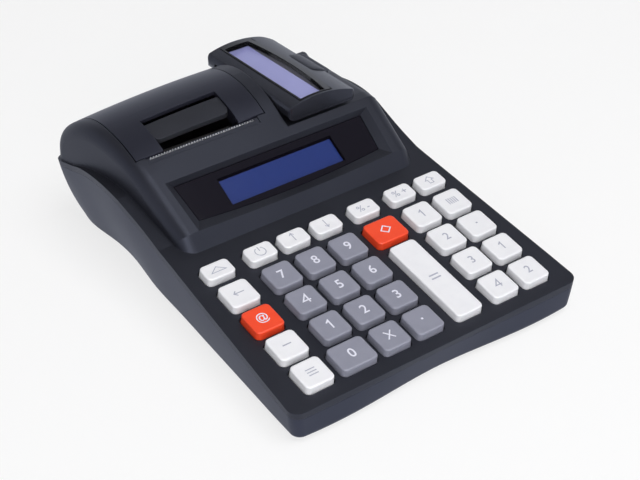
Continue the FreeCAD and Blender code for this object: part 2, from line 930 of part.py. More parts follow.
def under_keys():
    """Depths below the deck of the mat's pads, its sheet, and the board's two faces."""
    flange_bottom = size.deck_wall + size.key_flange_gap + size.key_flange_thickness
    pad_top = flange_bottom + size.plunger_length + size.key_travel + size.mat_gap
    sheet_top = pad_top + size.mat_pad_height
    board_top = sheet_top + size.mat_thickness
    return pad_top, sheet_top, board_top, board_top + size.board_thickness


def keypad_sheet(top, bottom):
    half = size.keypad_half_width
    return slab(Vector(-half, size.keypad_front_up, -bottom),
                Vector(half, size.keypad_rear_up, -top))


def make_keypad_mat():
    """The rubber sheet under the keys, with a pad below each plunger."""
    pad_top, sheet_top, board_top, board_bottom = under_keys()
    pads = [rod(size.mat_pad_radius, size.mat_pad_height, Vector(x, up, -sheet_top), UP)
            for name, x, up, width, depth in key_layout()]
    mat = keypad_sheet(sheet_top, board_top).fuse(pads)
    feature("keypad_mat", mat.removeSplitter(), deck_frame())


def make_key_board():
    pad_top, sheet_top, board_top, board_bottom = under_keys()
    feature("key_board", keypad_sheet(board_top, board_bottom), deck_frame())


# Operator display

def face_frame():
    """The display face's own frame, from the chin: x right, y up the face, z outwards."""
    turn = FreeCAD.Rotation(RIGHT, size.face_angle)
    return FreeCAD.Placement(chin_point(), turn)


def face_outline(low_up, high_up, low_half, high_half, depth, bow=0):
    """A trapezoid on the display face at a depth, its lower side bowed downwards."""
    corners = [Vector(low_half, low_up, -depth), Vector(high_half, high_up, -depth),
               Vector(-high_half, high_up, -depth), Vector(-low_half, low_up, -depth)]
    edges = [Part.makeLine(corners[i], corners[i + 1]) for i in range(3)]
    middle = Vector(0, low_up - bow, -depth)
    if bow:
        edges.append(Part.Arc(corners[3], middle, corners[0]).toShape())
    else:
        edges.append(Part.makeLine(corners[3], corners[0]))
    return Part.Wire(edges)


def lens_outline(depth, gap):
    return face_outline(size.lens_bottom_up + gap, size.lens_top_up - gap,
                        size.lens_bottom_half_width - gap, size.lens_top_half_width - gap,
                        depth, size.lens_bow)


def recess_tool():
    """The splayed recess from the face down to the lens."""
    splay = size.recess_bottom_half_width - size.lens_bottom_half_width
    above = 1 + size.overrun / size.recess_depth
    top_rise = size.recess_height - size.lens_top_up
    outer = face_outline(
        size.lens_bottom_up - size.lens_bottom_up * above, size.lens_top_up + top_rise * above,
        size.lens_bottom_half_width + splay * above, size.lens_top_half_width + splay * above,
        -size.overrun, size.lens_bow * size.lens_gap)
    inner = lens_outline(size.recess_depth, 0)
    return Part.makeLoft([outer, inner], True, True)


def make_display_window():
    depth = size.recess_depth + size.lens_thickness
    lens = Part.Face(lens_outline(depth, size.lens_gap)).extrude(UP * size.lens_thickness)
    feature("display_window", lens, face_frame())


def make_operator_lcd():
    """The display module: a bezelled glass on a small board behind the lens."""
    top = -size.pan_depth - size.board_fit
    across = size.lcd_module_width / 2
    rise = size.lcd_module_height / 2
    centre = size.lcd_centre_up
    bezel = slab(Vector(-across, centre - rise, top - size.lcd_bezel_depth),
                 Vector(across, centre + rise, top))
    view = slab(Vector(-size.lcd_view_width / 2, centre - size.lcd_view_height / 2,
                       top - size.lcd_glass_sink),
                Vector(size.lcd_view_width / 2, centre + size.lcd_view_height / 2,
                       top + size.overrun))
    border = size.lcd_board_border
    board = slab(Vector(-across - border, centre - rise - border,
                        top - size.lcd_bezel_depth - size.lcd_board_depth),
                 Vector(across + border, centre + rise + border, top - size.lcd_bezel_depth))
    feature("operator_lcd", bezel.cut(view).fuse(board), face_frame())


def display_pan():
    """The thick pan behind the recess that carries the lens and the display module."""
    border = size.pan_border
    outline = face_outline(-border, size.recess_height + border,
                           size.recess_bottom_half_width + border,
                           size.recess_top_half_width + border, size.pan_depth)
    pan = Part.Face(outline).extrude(UP * (size.pan_depth + size.overrun))
    pan.Placement = face_frame()
    return pan


def display_cuts():
    """The recess, the lens seat and the sight hole."""
    seat_depth = size.recess_depth + size.lens_thickness + size.lens_gap
    seat = Part.Face(lens_outline(seat_depth, 0)).extrude(UP * seat_depth)
    sight = slab(Vector(-size.sight_width / 2, size.lcd_centre_up - size.sight_height / 2,
                        -2 * size.pan_depth),
                 Vector(size.sight_width / 2, size.lcd_centre_up + size.sight_height / 2, 0))
    tools = Part.makeCompound([recess_tool(), seat, sight])
    tools.Placement = face_frame()
    return tools


# Customer display

def pitched(shape):
    """Tip a piece of the customer display down to the rear, about its front end."""
    shape = shape.copy()
    shape.rotate(at(0, size.pod_front_y, size.pod_axis_z), RIGHT, -size.pod_pitch)
    return shape


def pod_bottom_z():
    return size.pod_axis_z - size.pod_barrel_radius


def pod_profile(y):
    """End view of the customer display: flat below, a rolled left edge and a crowned top."""
    radius = size.pod_barrel_radius
    axis = at(size.pod_axis_x, y, size.pod_axis_z)
    bottom = axis - UP * radius
    left = axis - RIGHT * radius
    roll = math.radians(110)
    roll_end = axis + Vector(radius * math.cos(roll), 0, radius * math.sin(roll))
    edge_top = at(size.pod_right_x - radius / 4, y, size.pod_edge_z)
    edge_side = at(size.pod_right_x, y, size.pod_edge_z - radius / 4)
    edge_low = at(size.pod_right_x, y, pod_bottom_z() + radius / 2)
    corner = at(size.pod_right_x - radius / 2, y, pod_bottom_z())
    crown = at(size.pod_crown_x, y, size.pod_crown_z)
    edges = [
        Part.makeLine(corner, bottom),
        Part.Arc(bottom, left, roll_end).toShape(),
        Part.Arc(roll_end, crown, edge_top).toShape(),
        Part.makeLine(edge_top, edge_side),
        Part.makeLine(edge_side, edge_low),
        Part.makeLine(edge_low, corner),
    ]
    return Part.Face(Part.Wire(edges))


def pod_block():
    """The customer display as a full block with rounded corners in plan."""
    length = size.pod_rear_y - size.pod_front_y
    block = pod_profile(size.pod_front_y).extrude(BACK * length)
    left = size.pod_axis_x - size.pod_barrel_radius
    width = size.pod_right_x - left
    middle_x = (size.pod_right_x + left) / 2
    middle_y = (size.pod_front_y + size.pod_rear_y) / 2
    base = pod_bottom_z() - size.overrun
    tall = size.pod_crown_z - base + size.overrun
    plan = Part.makeBox(width, length, tall, at(left, size.pod_front_y, base))
    rear = [e for e in plan.Edges if e.BoundBox.ZLength > tall / 2
            and e.BoundBox.YMin > at(middle_x, middle_y, 0).y]
    rear.sort(key=lambda edge: edge.BoundBox.XMin)
    plan = plan.makeFillet(size.pod_rear_left_radius, rear[:1])
    rear = [e for e in plan.Edges if e.BoundBox.ZLength > tall / 2
            and e.BoundBox.YMin > at(middle_x, middle_y, 0).y]
    rear.sort(key=lambda edge: edge.BoundBox.XMin)
    plan = plan.makeFillet(size.pod_rear_radius, rear[-1:])
    front = [e for e in plan.Edges if e.BoundBox.ZLength > tall / 2
             and e.BoundBox.YMax < at(middle_x, middle_y, 0).y - length / 4]
    plan = plan.makeFillet(size.pod_front_radius, front)
    return block.common(plan)


def pod_tab():
    """The finger tab on the free edge."""
    length = size.pod_tab_length
    tab = rounded_slab(2 * size.pod_tab_reach + size.overrun, length, size.pod_tab_thickness,
                       size.pod_tab_reach,
                       at(size.pod_right_x - size.overrun / 2, size.pod_tab_y,
                          size.pod_edge_z - size.pod_tab_thickness - size.pod_barrel_radius / 8))
    return tab


def lug_starts():
    """Where the hinge lugs of the customer display begin."""
    return [size.pod_lug_y, size.pod_lug_y + size.pod_lug_step]


def pod_lug_cuts():
    """Room in the rolled edge for the lugs, through the whole swing."""
    tools = []
    gap = size.pod_lug_gap
    for start in lug_starts():
        origin = at(size.pod_axis_x, start - gap, size.pod_axis_z)
        length = size.pod_lug_length + 2 * gap
        tools.append(rod(size.pod_lug_radius + gap, length, origin, BACK))
        reach = 2 * size.pod_barrel_radius
        clear = size.pod_lug_radius + gap
        tools.append(slab(origin + Vector(-reach, 0, -reach),
                          origin + Vector(clear, length, clear / 2)))
    return tools


def pod_window_box(low_z, high_z, gap):
    margin = size.pod_window_margin
    return slab(at(size.pod_window_left_x + gap, size.pod_front_y + margin + gap, low_z),
                at(size.pod_window_right_x - gap, size.pod_rear_y - margin - gap, high_z))


def pod_window_seat_z():
    return size.pod_edge_z + size.pod_window_thickness + size.pod_window_sink


def make_customer_display_bezel():
    """The upper shell: rolled edge, crowned top, window seat and finger tab."""
    seat_z = pod_window_seat_z()
    shell = pod_block().fuse(pod_tab())
    base_z = pod_bottom_z() + size.pod_base_thickness
    half = size.front_half_width
    under = slab(at(size.pod_axis_x + size.pod_barrel_radius, size.pod_front_y - size.overrun,
                    pod_bottom_z() - size.overrun),
                 at(half, size.case_length + size.overrun, base_z))
    left = size.pod_window_left_x + size.pod_window_gap
    right = size.pod_right_x - size.pod_wall
    room = prism([
        at(left, size.pod_front_y + size.pod_wall, base_z - size.seam_gap),
        at(right, size.pod_front_y + size.pod_wall, base_z - size.seam_gap),
        at(right, size.pod_front_y + size.pod_wall, size.pod_edge_z - size.pod_wall),
        at(size.pod_window_right_x + size.pod_wall, size.pod_front_y + size.pod_wall,
           seat_z - size.pod_window_thickness),
        at(left, size.pod_front_y + size.pod_wall, seat_z - size.pod_window_thickness),
    ], BACK * (size.pod_rear_y - size.pod_front_y - 2 * size.pod_wall))
    seat = pod_window_box(seat_z, size.pod_crown_z + size.overrun, 0)
    sight = pod_window_box(base_z, size.pod_crown_z, size.pod_window_margin / 2)
    hole = rod(size.pod_pin_radius + size.shaft_fit, size.case_length,
               at(size.pod_axis_x, size.pod_front_y + size.pod_wall, size.pod_axis_z), BACK)
    shell = shell.cut([under, room, seat, sight, hole] + pod_lug_cuts())
    feature("customer_display_bezel", pitched(shell))


def make_customer_display_base():
    """The lower plate, with ribs that carry the display module."""
    top = size.pod_base_thickness - size.seam_gap
    left = size.pod_axis_x + size.pod_barrel_radius + size.seam_gap
    plate = pod_block().common(
        slab(at(left, size.pod_front_y - size.overrun, pod_bottom_z() - size.overrun),
             at(size.pod_right_x + size.overrun, size.case_length + size.overrun,
                pod_bottom_z() + top)))
    rib_height = pod_lcd_floor_z() - pod_bottom_z() - top - size.seam_gap
    ribs = []
    length = size.pod_rear_y - size.pod_front_y
    for step in (1, 3):
        ribs.append(Part.makeBox(size.pod_lcd_width, size.pod_wall, rib_height,
                                 at(size.pod_lcd_left_x, size.pod_front_y + length * step / 4,
                                    pod_bottom_z() + top)))
    feature("customer_display_base", pitched(plate.fuse(ribs)))


def pod_lcd_floor_z():
    return pod_window_seat_z() - size.pod_lcd_gap - size.pod_lcd_thickness


def make_customer_display_lcd():
    """The customer's display module under its window."""
    middle = (size.pod_front_y + size.pod_rear_y) / 2
    lcd = Part.makeBox(size.pod_lcd_width, size.pod_lcd_length, size.pod_lcd_thickness,
                       at(size.pod_lcd_left_x, middle - size.pod_lcd_length / 2,
                          pod_lcd_floor_z()))
    feature("customer_display_lcd", pitched(lcd))


def make_customer_display_window():
    seat = pod_window_seat_z()
    window = pod_window_box(seat, seat + size.pod_window_thickness, size.pod_window_gap)
    feature("customer_display_window", pitched(window))


def make_customer_display_pin():
    last = lug_starts()[-1] + size.pod_lug_length
    first = size.pod_lug_y - size.pod_lug_length
    pin = rod(size.pod_pin_radius, last - first + size.pod_lug_length / 2,
              at(size.pod_axis_x, first, size.pod_axis_z), BACK)
    feature("customer_display_pin", pitched(pin))


def trough_floor_z():
    return pod_bottom_z() - size.trough_floor_gap


def trough(grow):
    """The room over the customer display's bed and over the lower shoulder to its right."""
    rear = size.case_length + 2 * size.overrun
    high = size.crest_z + 2 * size.overrun
    far_right = size.front_half_width + size.overrun
    bed = slab(at(size.trough_left_x - grow, size.pod_front_y - 2 * size.overrun,
                  trough_floor_z() - grow),
               at(far_right, rear, high))
    # The shoulder leaves the bed behind the front edge and falls more steeply.
    drop = (size.pod_axis_z - trough_floor_z() + grow) / math.cos(math.radians(size.pod_pitch))
    start_y = size.shoulder_front_y
    start_z = size.pod_axis_z - drop - slope(size.pod_pitch) * (start_y - size.pod_front_y)
    fall = slope(size.shoulder_pitch) * (rear - start_y)
    left = size.shoulder_x - grow
    shoulder = prism([
        at(left, start_y, start_z),
        at(left, rear, start_z - fall),
        at(left, rear, high),
        at(left, start_y, high),
    ], RIGHT * (far_right - left))
    return pitched(bed).fuse(shoulder)


def pod_lugs():
    """The two lugs that hold the customer display's pin, on stems that clear its swing."""
    lugs = []
    for start in lug_starts():
        origin = at(size.pod_axis_x, start, size.pod_axis_z)
        eye = rod(size.pod_lug_radius, size.pod_lug_length, origin, BACK)
        drop = size.pod_axis_z - trough_floor_z() + size.wall / 2
        stem = slab(origin + Vector(-size.pod_pin_radius, 0, -drop),
                    origin + Vector(size.pod_pin_radius, size.pod_lug_length, 0))
        lugs.append(pitched(eye.fuse(stem)))
    return lugs


def pod_pin_hole():
    hole = rod(size.pod_pin_radius, size.case_length,
               at(size.pod_axis_x, size.pod_front_y, size.pod_axis_z), BACK)
    return pitched(hole)


# Ticket printer

def paper_middle():
    """Side offset of the paper's middle, which is also the middle of the cover."""
    return (size.cover_left_x + size.cover_right_x) / 2


def platen_ends():
    half = size.platen_length / 2
    return paper_middle() - half, paper_middle() + half


def lug_starts_x():
    """Where the two lugs beside the platen begin, from left to right."""
    left, right = platen_ends()
    return [left - size.lug_gap - size.lug_thickness, right + size.lug_gap]


def gear_start():
    return lug_starts_x()[1] + size.lug_thickness + size.lug_gap


def drive_axis_z():
    teeth = size.platen_gear_teeth + size.drive_gear_teeth
    return size.platen_z - size.gear_module * teeth / 2


def make_platen_roller():
    """The rubber roller that carries the paper, on its steel shaft."""
    left, right = platen_ends()
    rubber = rod(size.platen_radius, size.platen_length,
                 at(left, size.platen_y, size.platen_z), RIGHT)
    start = lug_starts_x()[0]
    shaft = rod(size.platen_shaft_radius, gear_start() + size.gear_width - start,
                at(start, size.platen_y, size.platen_z), RIGHT)
    feature("platen_roller", rubber.fuse(shaft).removeSplitter())


def gear(teeth, bore, turn):
    """A spur gear with straight-sided teeth, standing on the YZ plane."""
    pitch_radius = size.gear_module * teeth / 2
    tip = pitch_radius + size.gear_module
    root = pitch_radius - size.gear_module * size.gear_root_share
    step = 2 * math.pi / teeth
    thin = size.gear_backlash / pitch_radius / 2
    half_widths = [(root, step * size.tooth_root_share / 2),
                   (pitch_radius, step / 4 - thin),
                   (tip, step * size.tooth_tip_share / 2)]
    points = []
    for tooth in range(int(teeth)):
        middle = tooth * step + math.radians(turn)
        rising = [(r, middle - half) for r, half in half_widths]
        falling = [(r, middle + half) for r, half in reversed(half_widths)]
        for radius, angle in rising + falling:
            points.append(Vector(0, radius * math.cos(angle), radius * math.sin(angle)))
    wheel = prism(points, RIGHT * size.gear_width)
    return wheel.cut(rod(bore, size.gear_width, Vector(), RIGHT))


def make_gears():
    """The gear on the platen's shaft and the smaller one on the motor below it."""
    platen_gear = gear(size.platen_gear_teeth, size.platen_shaft_radius, 0)
    platen_gear.translate(at(gear_start(), size.platen_y, size.platen_z))
    feature("platen_gear", platen_gear)
    # One gear has a tooth straight down and the other a gap straight up.
    half_step = 180 / size.drive_gear_teeth
    drive = gear(size.drive_gear_teeth, size.motor_shaft_radius + size.shaft_fit,
                 90 + half_step)
    drive.translate(at(gear_start(), size.platen_y, drive_axis_z()))
    feature("drive_gear", drive)


def make_printer_motor():
    """A small motor behind the right-hand plate, with its shaft through the plate."""
    plate = lug_starts_x()[1]
    can = rod(size.motor_radius, size.motor_length,
              at(plate - size.motor_length, size.platen_y, drive_axis_z()), RIGHT)
    shaft = rod(size.motor_shaft_radius, gear_start() + size.gear_width - plate,
                at(plate, size.platen_y, drive_axis_z()), RIGHT)
    feature("printer_motor", can.fuse(shaft).removeSplitter())


def head_front_y():
    return size.platen_y - size.platen_radius - size.head_gap - size.head_thickness


def make_print_head():
    """The heated bar that the platen presses the paper against."""
    half = size.head_length / 2
    head = slab(at(paper_middle() - half, head_front_y(), size.head_low_z),
                at(paper_middle() + half, head_front_y() + size.head_thickness,
                   size.head_low_z + size.head_height))
    feature("print_head", head)


def frame_plate(start):
    """A side plate of the printer frame, from the floor up."""
    front = head_front_y() - size.plate_thickness
    points = [
        at(start, front, size.floor_wall),
        at(start, size.frame_rear_y, size.floor_wall),
        at(start, size.frame_rear_y, size.bay_rim_z),
        at(start, size.frame_rear_top_y, size.frame_top_z),
        at(start, size.frame_front_top_y, size.frame_top_z),
        at(start, size.frame_front_top_y, size.frame_low_z),
        at(start, front, size.frame_low_z),
    ]
    return prism(points, RIGHT * size.plate_thickness)


def make_printer_frame():
    """Two side plates, the round paper bay between them and a bar for the print head."""
    starts = lug_starts_x()
    width = starts[1] - starts[0]
    centre = at(starts[0], size.bay_y, size.bay_z)
    bay = rod(size.bay_radius + size.bay_wall, width, centre, RIGHT)
    bay = bay.cut(rod(size.bay_radius, width, centre, RIGHT))
    half = size.bay_radius + size.bay_wall
    bay = bay.common(slab(at(starts[0], size.bay_y - half, size.floor_wall),
                          at(starts[1], size.bay_y + half, size.bay_rim_z)))
    bar = slab(at(starts[0], head_front_y() - size.plate_thickness, size.frame_bar_z),
               at(starts[1], head_front_y(), size.frame_low_z))
    frame = frame_plate(starts[0]).fuse([frame_plate(starts[1]), bay, bar])
    hole = rod(size.motor_shaft_radius + size.shaft_fit, size.plate_thickness,
               at(starts[1], size.platen_y, drive_axis_z()), RIGHT)
    feature("printer_frame", frame.cut(hole).removeSplitter())


def make_tear_bar():
    """A thin steel strip with a row of teeth along its upper edge."""
    left = paper_middle() - size.tear_length / 2
    right = paper_middle() + size.tear_length / 2
    low = size.tear_top_z - size.tear_height
    count = int(size.tear_length // size.tear_tooth_pitch)
    margin = (size.tear_length - count * size.tear_tooth_pitch) / 2
    points = [at(left, size.tear_y, size.tear_top_z - size.tear_tooth_depth)]
    for tooth in range(count):
        start = left + margin + tooth * size.tear_tooth_pitch
        points.append(at(start, size.tear_y, size.tear_top_z - size.tear_tooth_depth))
        points.append(at(start + size.tear_tooth_pitch / 2, size.tear_y, size.tear_top_z))
    points.append(at(right - margin, size.tear_y, size.tear_top_z - size.tear_tooth_depth))
    points.append(at(right, size.tear_y, size.tear_top_z - size.tear_tooth_depth))
    points.append(at(right, size.tear_y, low))
    points.append(at(left, size.tear_y, low))
    feature("tear_bar", prism(points, BACK * size.tear_thickness))


def tear_bar_cuts():
    """The shallow step in the skin and the slot that holds the strip."""
    left = paper_middle() - size.tear_length / 2
    right = paper_middle() + size.tear_length / 2
    margin = size.tear_step_margin
    high = size.crest_z
    step = slab(at(left - margin, size.tear_step_front_y, size.tear_top_z - size.tear_height),
                at(right + margin, size.cover_front_y, high)).cut(housing(size.tear_step_depth))
    slot = slab(at(left, size.tear_y, size.tear_top_z - size.tear_height - size.overrun),
                at(right, size.tear_y + size.tear_thickness, high))
    return [step, slot]


# Printer cover

def window_sides():
    half = size.window_width / 2
    return paper_middle() - half, paper_middle() + half


def cover_opening():
    """The opening in the housing, down to the rear wall under the hinge."""
    half_gap = size.cover_gap / 2
    return slab(at(size.cover_left_x - half_gap, size.cover_front_y - half_gap,
                   size.hinge_wall_z),
                at(size.cover_right_x + half_gap, size.case_length + size.overrun,
                   size.crest_z + size.overrun))


def hinge_axis(x):
    return at(x, size.hinge_y, size.hinge_z)


def knuckle_ends():
    """The hinge's run between the cover's sides: case, cover and case knuckles."""
    left = size.cover_left_x + size.knuckle_gap
    right = size.cover_right_x - size.knuckle_gap
    inner_left = left + size.knuckle_length
    inner_right = right - size.knuckle_length
    return left, inner_left, inner_right, right


def case_knuckles():
    """The two fixed knuckles with their stems on the rear wall."""
    left, inner_left, inner_right, right = knuckle_ends()
    pieces = []
    for start, finish in ((left, inner_left), (inner_right, right)):
        pieces.append(rod(size.knuckle_radius, finish - start, hinge_axis(start), RIGHT))
        low = size.hinge_wall_z - size.knuckle_radius
        pieces.append(slab(at(start, size.hinge_y - size.knuckle_radius / 2, low),
                           at(finish, size.hinge_y + size.knuckle_radius * 0.8, size.hinge_z)))
    return pieces


def hinge_bore(radius):
    left, inner_left, inner_right, right = knuckle_ends()
    return rod(radius, right - left, hinge_axis(left), RIGHT)


def make_cover_hinge_pin():
    feature("cover_hinge_pin", hinge_bore(size.hinge_pin_radius))


def lever_axis(x):
    """A point on the lever's swing axis: half way through its crowned plate."""
    depth = size.lever_sink + size.lever_thickness / 2
    rise = size.crest_y - size.lever_axis_y
    radius = front_arc_radius(x)
    height = crest_height(x) - radius + math.sqrt((radius - depth) ** 2 - rise ** 2)
    return at(x, size.lever_axis_y, height)


def trunnions(radius, reach):
    """A bar along the lever's axis that reaches past both window sides."""
    left, right = window_sides()
    along = lever_axis(right) - lever_axis(left)
    length = along.Length
    along.normalize()
    return rod(radius, length + 2 * reach, lever_axis(left) - along * reach, along)


def make_cover_lever():
    """The release lever in the window: a curved plate on two trunnions."""
    left, right = window_sides()
    inset = size.lever_gap
    plate = slab(at(left + inset, size.lever_front_y, size.platen_z),
                 at(right - inset, size.lever_rear_y, size.crest_z))
    front = [e for e in plate.Edges if e.BoundBox.ZLength > size.overrun
             and e.BoundBox.YMax < at(0, size.lever_front_y + size.seam_gap, 0).y]
    plate = plate.makeFillet(size.lever_corner_radius, front)
    plate = plate.common(housing(size.lever_sink))
    plate = plate.cut(housing(size.lever_sink + size.lever_thickness))
    reach = size.trunnion_length - size.lever_gap
    feature("cover_lever", plate.fuse(trunnions(size.trunnion_radius, reach)))


def cover_lugs():
    """The lugs inside the cover that carry the platen."""
    lugs = []
    for start in lug_starts_x():
        low = size.platen_z - size.lug_half_depth
        lugs.append(slab(at(start, size.platen_y - size.lug_half_depth, low),
                         at(start + size.lug_thickness, size.platen_y + size.lug_half_depth,
                            size.crest_z)))
    return lugs


def make_printer_cover():
    """The hinged cover: a skin that follows the housing, with its window, lugs and barrel."""
    half_gap = size.cover_gap / 2
    left = size.cover_left_x + half_gap
    right = size.cover_right_x - half_gap
    block = slab(at(left, size.cover_front_y + half_gap, size.cover_rear_z),
                 at(right, size.case_length, size.crest_z + size.overrun))
    skin = soft_housing(0).common(block).cut(housing(size.cover_wall))
    core = housing(size.cover_wall / 2)
    inner_parts = [lug.common(core) for lug in cover_lugs()]
    window_left, window_right = window_sides()
    window = slab(at(window_left, size.cover_front_y - size.overrun, size.platen_z),
                  at(window_right, size.window_rear_y, size.crest_z + size.overrun))
    deep = housing(size.window_rib_depth)
    for start in (window_left - size.window_rib, window_right):
        rib = slab(at(start, size.window_rib_y, size.platen_z),
                   at(start + size.window_rib, size.window_rear_y, size.crest_z))
        inner_parts.append(rib.common(core).cut(deep))
    ends = knuckle_ends()
    start = ends[1] + size.knuckle_gap
    finish = ends[2] - size.knuckle_gap
    inner_parts.append(rod(size.knuckle_radius, finish - start, hinge_axis(start), RIGHT))
    web = slab(at(start, size.hinge_y - size.knuckle_radius * 0.8, size.hinge_z),
               at(finish, size.case_length, size.cover_rear_z + size.cover_wall))
    inner_parts.append(web.common(core))
    cover = skin.cut(window).fuse(inner_parts)
    bore = rod(size.platen_shaft_radius + size.shaft_fit, size.case_length,
               at(-size.case_length / 2, size.platen_y, size.platen_z), RIGHT)
    cover = cover.cut([bore, hinge_bore(size.hinge_pin_radius + size.shaft_fit),
                       trunnions(size.trunnion_radius + size.trunnion_gap,
                                 size.trunnion_length)])
    feature("printer_cover", cover.removeSplitter())


# Case halves

def screw_spots():
    return [(-size.screw_front_x, size.screw_front_y), (size.screw_front_x, size.screw_front_y),
            (-size.screw_left_x, size.screw_left_y), (size.screw_right_x, size.screw_right_y)]


def upright(radius, spots, low_z, high_z):
    """Upright rods on a list of spots between two heights."""
    return [rod(radius, high_z - low_z, at(x, y, low_z), UP) for x, y in spots]


def make_case_screws():
    """Four screws that hold the case halves together from below."""
    screws = []
    for x, y in screw_spots():
        head = rod(size.screw_head_radius, size.screw_head_height,
                   at(x, y, size.floor_wall - size.screw_head_height), UP)
        shank = rod(size.screw_shank_radius, size.screw_length, at(x, y, size.floor_wall), UP)
        screws.append(head.fuse(shank).removeSplitter())
    feature("case_screws", Part.makeCompound(screws))


def make_top_case():
    """Keypad deck, ledge and raised housing in one moulding."""
    outer = case_block().fuse(soft_housing(0))
    hollow = case_hollow().cut(trough(size.wall)).fuse(soft_housing(size.wall))
    hollow = hollow.cut(display_pan())
    boss_top = size.crest_z + size.overrun
    bosses = upright(size.boss_radius, screw_spots(), size.screw_pad_height + size.seam_gap,
                     boss_top)
    shell = outer.cut(hollow)
    shell = shell.cut(below_deck(size.lip_height))
    inner = [boss.common(outer) for boss in bosses]
    shell = shell.fuse(inner)
    cuts = [cover_opening(), display_cuts(), key_holes()] + tear_bar_cuts()
    shell = shell.cut(cuts)
    shell = shell.fuse(case_knuckles() + pod_lugs())
    holes = [hinge_bore(size.hinge_pin_radius), pod_pin_hole()]
    holes += upright(size.screw_shank_radius, screw_spots(), size.floor_wall,
                     size.floor_wall + size.screw_length)
    feature("top_case", shell.cut(holes).removeSplitter())


def foot_spots():
    return [(x, y) for x in (-size.foot_x, size.foot_x)
            for y in (size.foot_front_y, size.foot_rear_y)]


def make_rubber_feet():
    """Four round feet let into the underside."""
    feet = upright(size.foot_radius, foot_spots(), -size.foot_height, size.foot_inlay)
    feature("rubber_feet", Part.makeCompound(feet))


def key_board_posts():
    """Posts from the floor up to the sloping board under the keypad."""
    spots = [(x, size.post_front_y + size.post_step * step)
             for x in (-size.post_x, 0, size.post_x) for step in range(3)]
    board_bottom = under_keys()[-1]
    below = keypad_sheet(board_bottom, board_bottom + size.crest_z)
    below.Placement = deck_frame()
    return [post.common(below) for post in
            upright(size.post_radius, spots, size.floor_wall / 2, size.crest_z)]


def main_board_posts():
    inset = size.main_post_inset
    half = size.main_board_half_width - inset
    spots = [(x, y) for x in (-half, half)
             for y in (size.main_board_front_y + inset, size.main_board_rear_y - inset)]
    return upright(size.post_radius, spots, size.floor_wall / 2, size.main_board_z)


def battery_box(grow, low_z, high_z):
    across = size.battery_width / 2 + grow
    along = size.battery_length / 2 + grow
    return slab(at(size.battery_x - across, size.battery_y - along, low_z),
                at(size.battery_x + across, size.battery_y + along, high_z))


def door_block(fit):
    across = size.door_width / 2 - fit
    along = size.door_length / 2 - fit
    return slab(at(size.battery_x - across, size.battery_y - along, 0),
                at(size.battery_x + across, size.battery_y + along, size.floor_wall))


def jack_block(grow):
    """The power inlet's housing, through the rear wall."""
    half = size.jack_width / 2 + grow
    rear = size.case_length - size.rear_bow
    return slab(at(size.jack_x - half, rear - size.jack_depth, size.jack_z - half),
                at(size.jack_x + half, rear + grow, size.jack_z + half))


def make_bottom_case():
    """The lower half: floor, waisted side walls, posts and the battery box."""
    shell = case_block().cut(case_hollow())
    shell = shell.common(below_deck(size.lip_height + size.seam_gap))
    inner = upright(size.boss_radius, screw_spots(), size.floor_wall / 2, size.screw_pad_height)
    inner += key_board_posts() + main_board_posts()
    walls = battery_box(size.door_fit + size.plate_thickness, size.floor_wall / 2,
                        size.bay_wall_height)
    inner.append(walls)
    shell = shell.fuse(inner)
    cuts = [battery_box(size.battery_gap, size.floor_wall, size.crest_z), door_block(0),
            jack_block(size.jack_fit)]
    cuts.append(rod(size.jack_bore_radius + size.jack_rim, size.wall * 2,
                    at(size.jack_x, size.case_length - 2 * size.wall, size.jack_z), BACK))
    cuts += upright(size.foot_radius, foot_spots(), 0, size.foot_inlay)
    cuts += upright(size.screw_head_radius + size.screw_fit, screw_spots(), 0, size.floor_wall)
    cuts += upright(size.screw_shank_radius + size.screw_fit, screw_spots(), 0,
                    size.screw_pad_height)
    feature("bottom_case", shell.cut(cuts).removeSplitter())


# Inner pieces

def make_main_board():
    """The control board with its processor and two smaller chips."""
    low = size.main_board_z
    board = slab(at(-size.main_board_half_width, size.main_board_front_y, low),
                 at(size.main_board_half_width, size.main_board_rear_y,
                    low + size.board_thickness))
    middle_y = (size.main_board_front_y + size.main_board_rear_y) / 2
    chips = []
    for step in (-1, 0, 1):
        chip = size.chip_size if step == 0 else size.chip_size * size.small_chip_share
        x = step * size.chip_size * 2
        chips.append(slab(at(x - chip / 2, middle_y - chip / 2, low + size.board_thickness),
                          at(x + chip / 2, middle_y + chip / 2,
                             low + size.board_thickness + size.chip_height)))
    feature("main_board", board.fuse(chips).removeSplitter())


def make_battery():
    """The battery pack and the door under it."""
    floor = size.floor_wall + size.seam_gap
    pack = battery_box(0, floor, floor + size.battery_height)
    feature("battery_pack", pack)
    feature("battery_door", door_block(size.door_fit))


def make_dc_jack():
    """The power inlet: a block with a round socket and a centre pin."""
    rear = size.case_length - size.rear_bow
    centre = at(size.jack_x, rear - size.jack_bore_depth, size.jack_z)
    bore = rod(size.jack_bore_radius, size.jack_bore_depth + size.overrun, centre, BACK)
    pin = rod(size.jack_pin_radius, size.jack_bore_depth - size.jack_rim, centre, BACK)
    feature("dc_jack", jack_block(0).cut(bore).fuse(pin).removeSplitter())


def build():
    """Make every sub-part, in the order of the list in the report."""
    for name, x, up, width, depth in key_layout():
        make_key(name, x, up, width, depth)
    make_keypad_mat()
    make_key_board()
    make_display_window()
    make_operator_lcd()
    make_customer_display_bezel()
    make_customer_display_base()
    make_customer_display_lcd()
    make_customer_display_window()
    make_customer_display_pin()
    make_platen_roller()
    make_gears()
    make_printer_motor()
    make_print_head()
    make_printer_frame()
    make_tear_bar()
    make_printer_cover()
    make_cover_hinge_pin()
    make_cover_lever()
    make_case_screws()
    make_rubber_feet()
    make_main_board()
    make_battery()
    make_dc_jack()
    make_bottom_case()
    make_top_case()


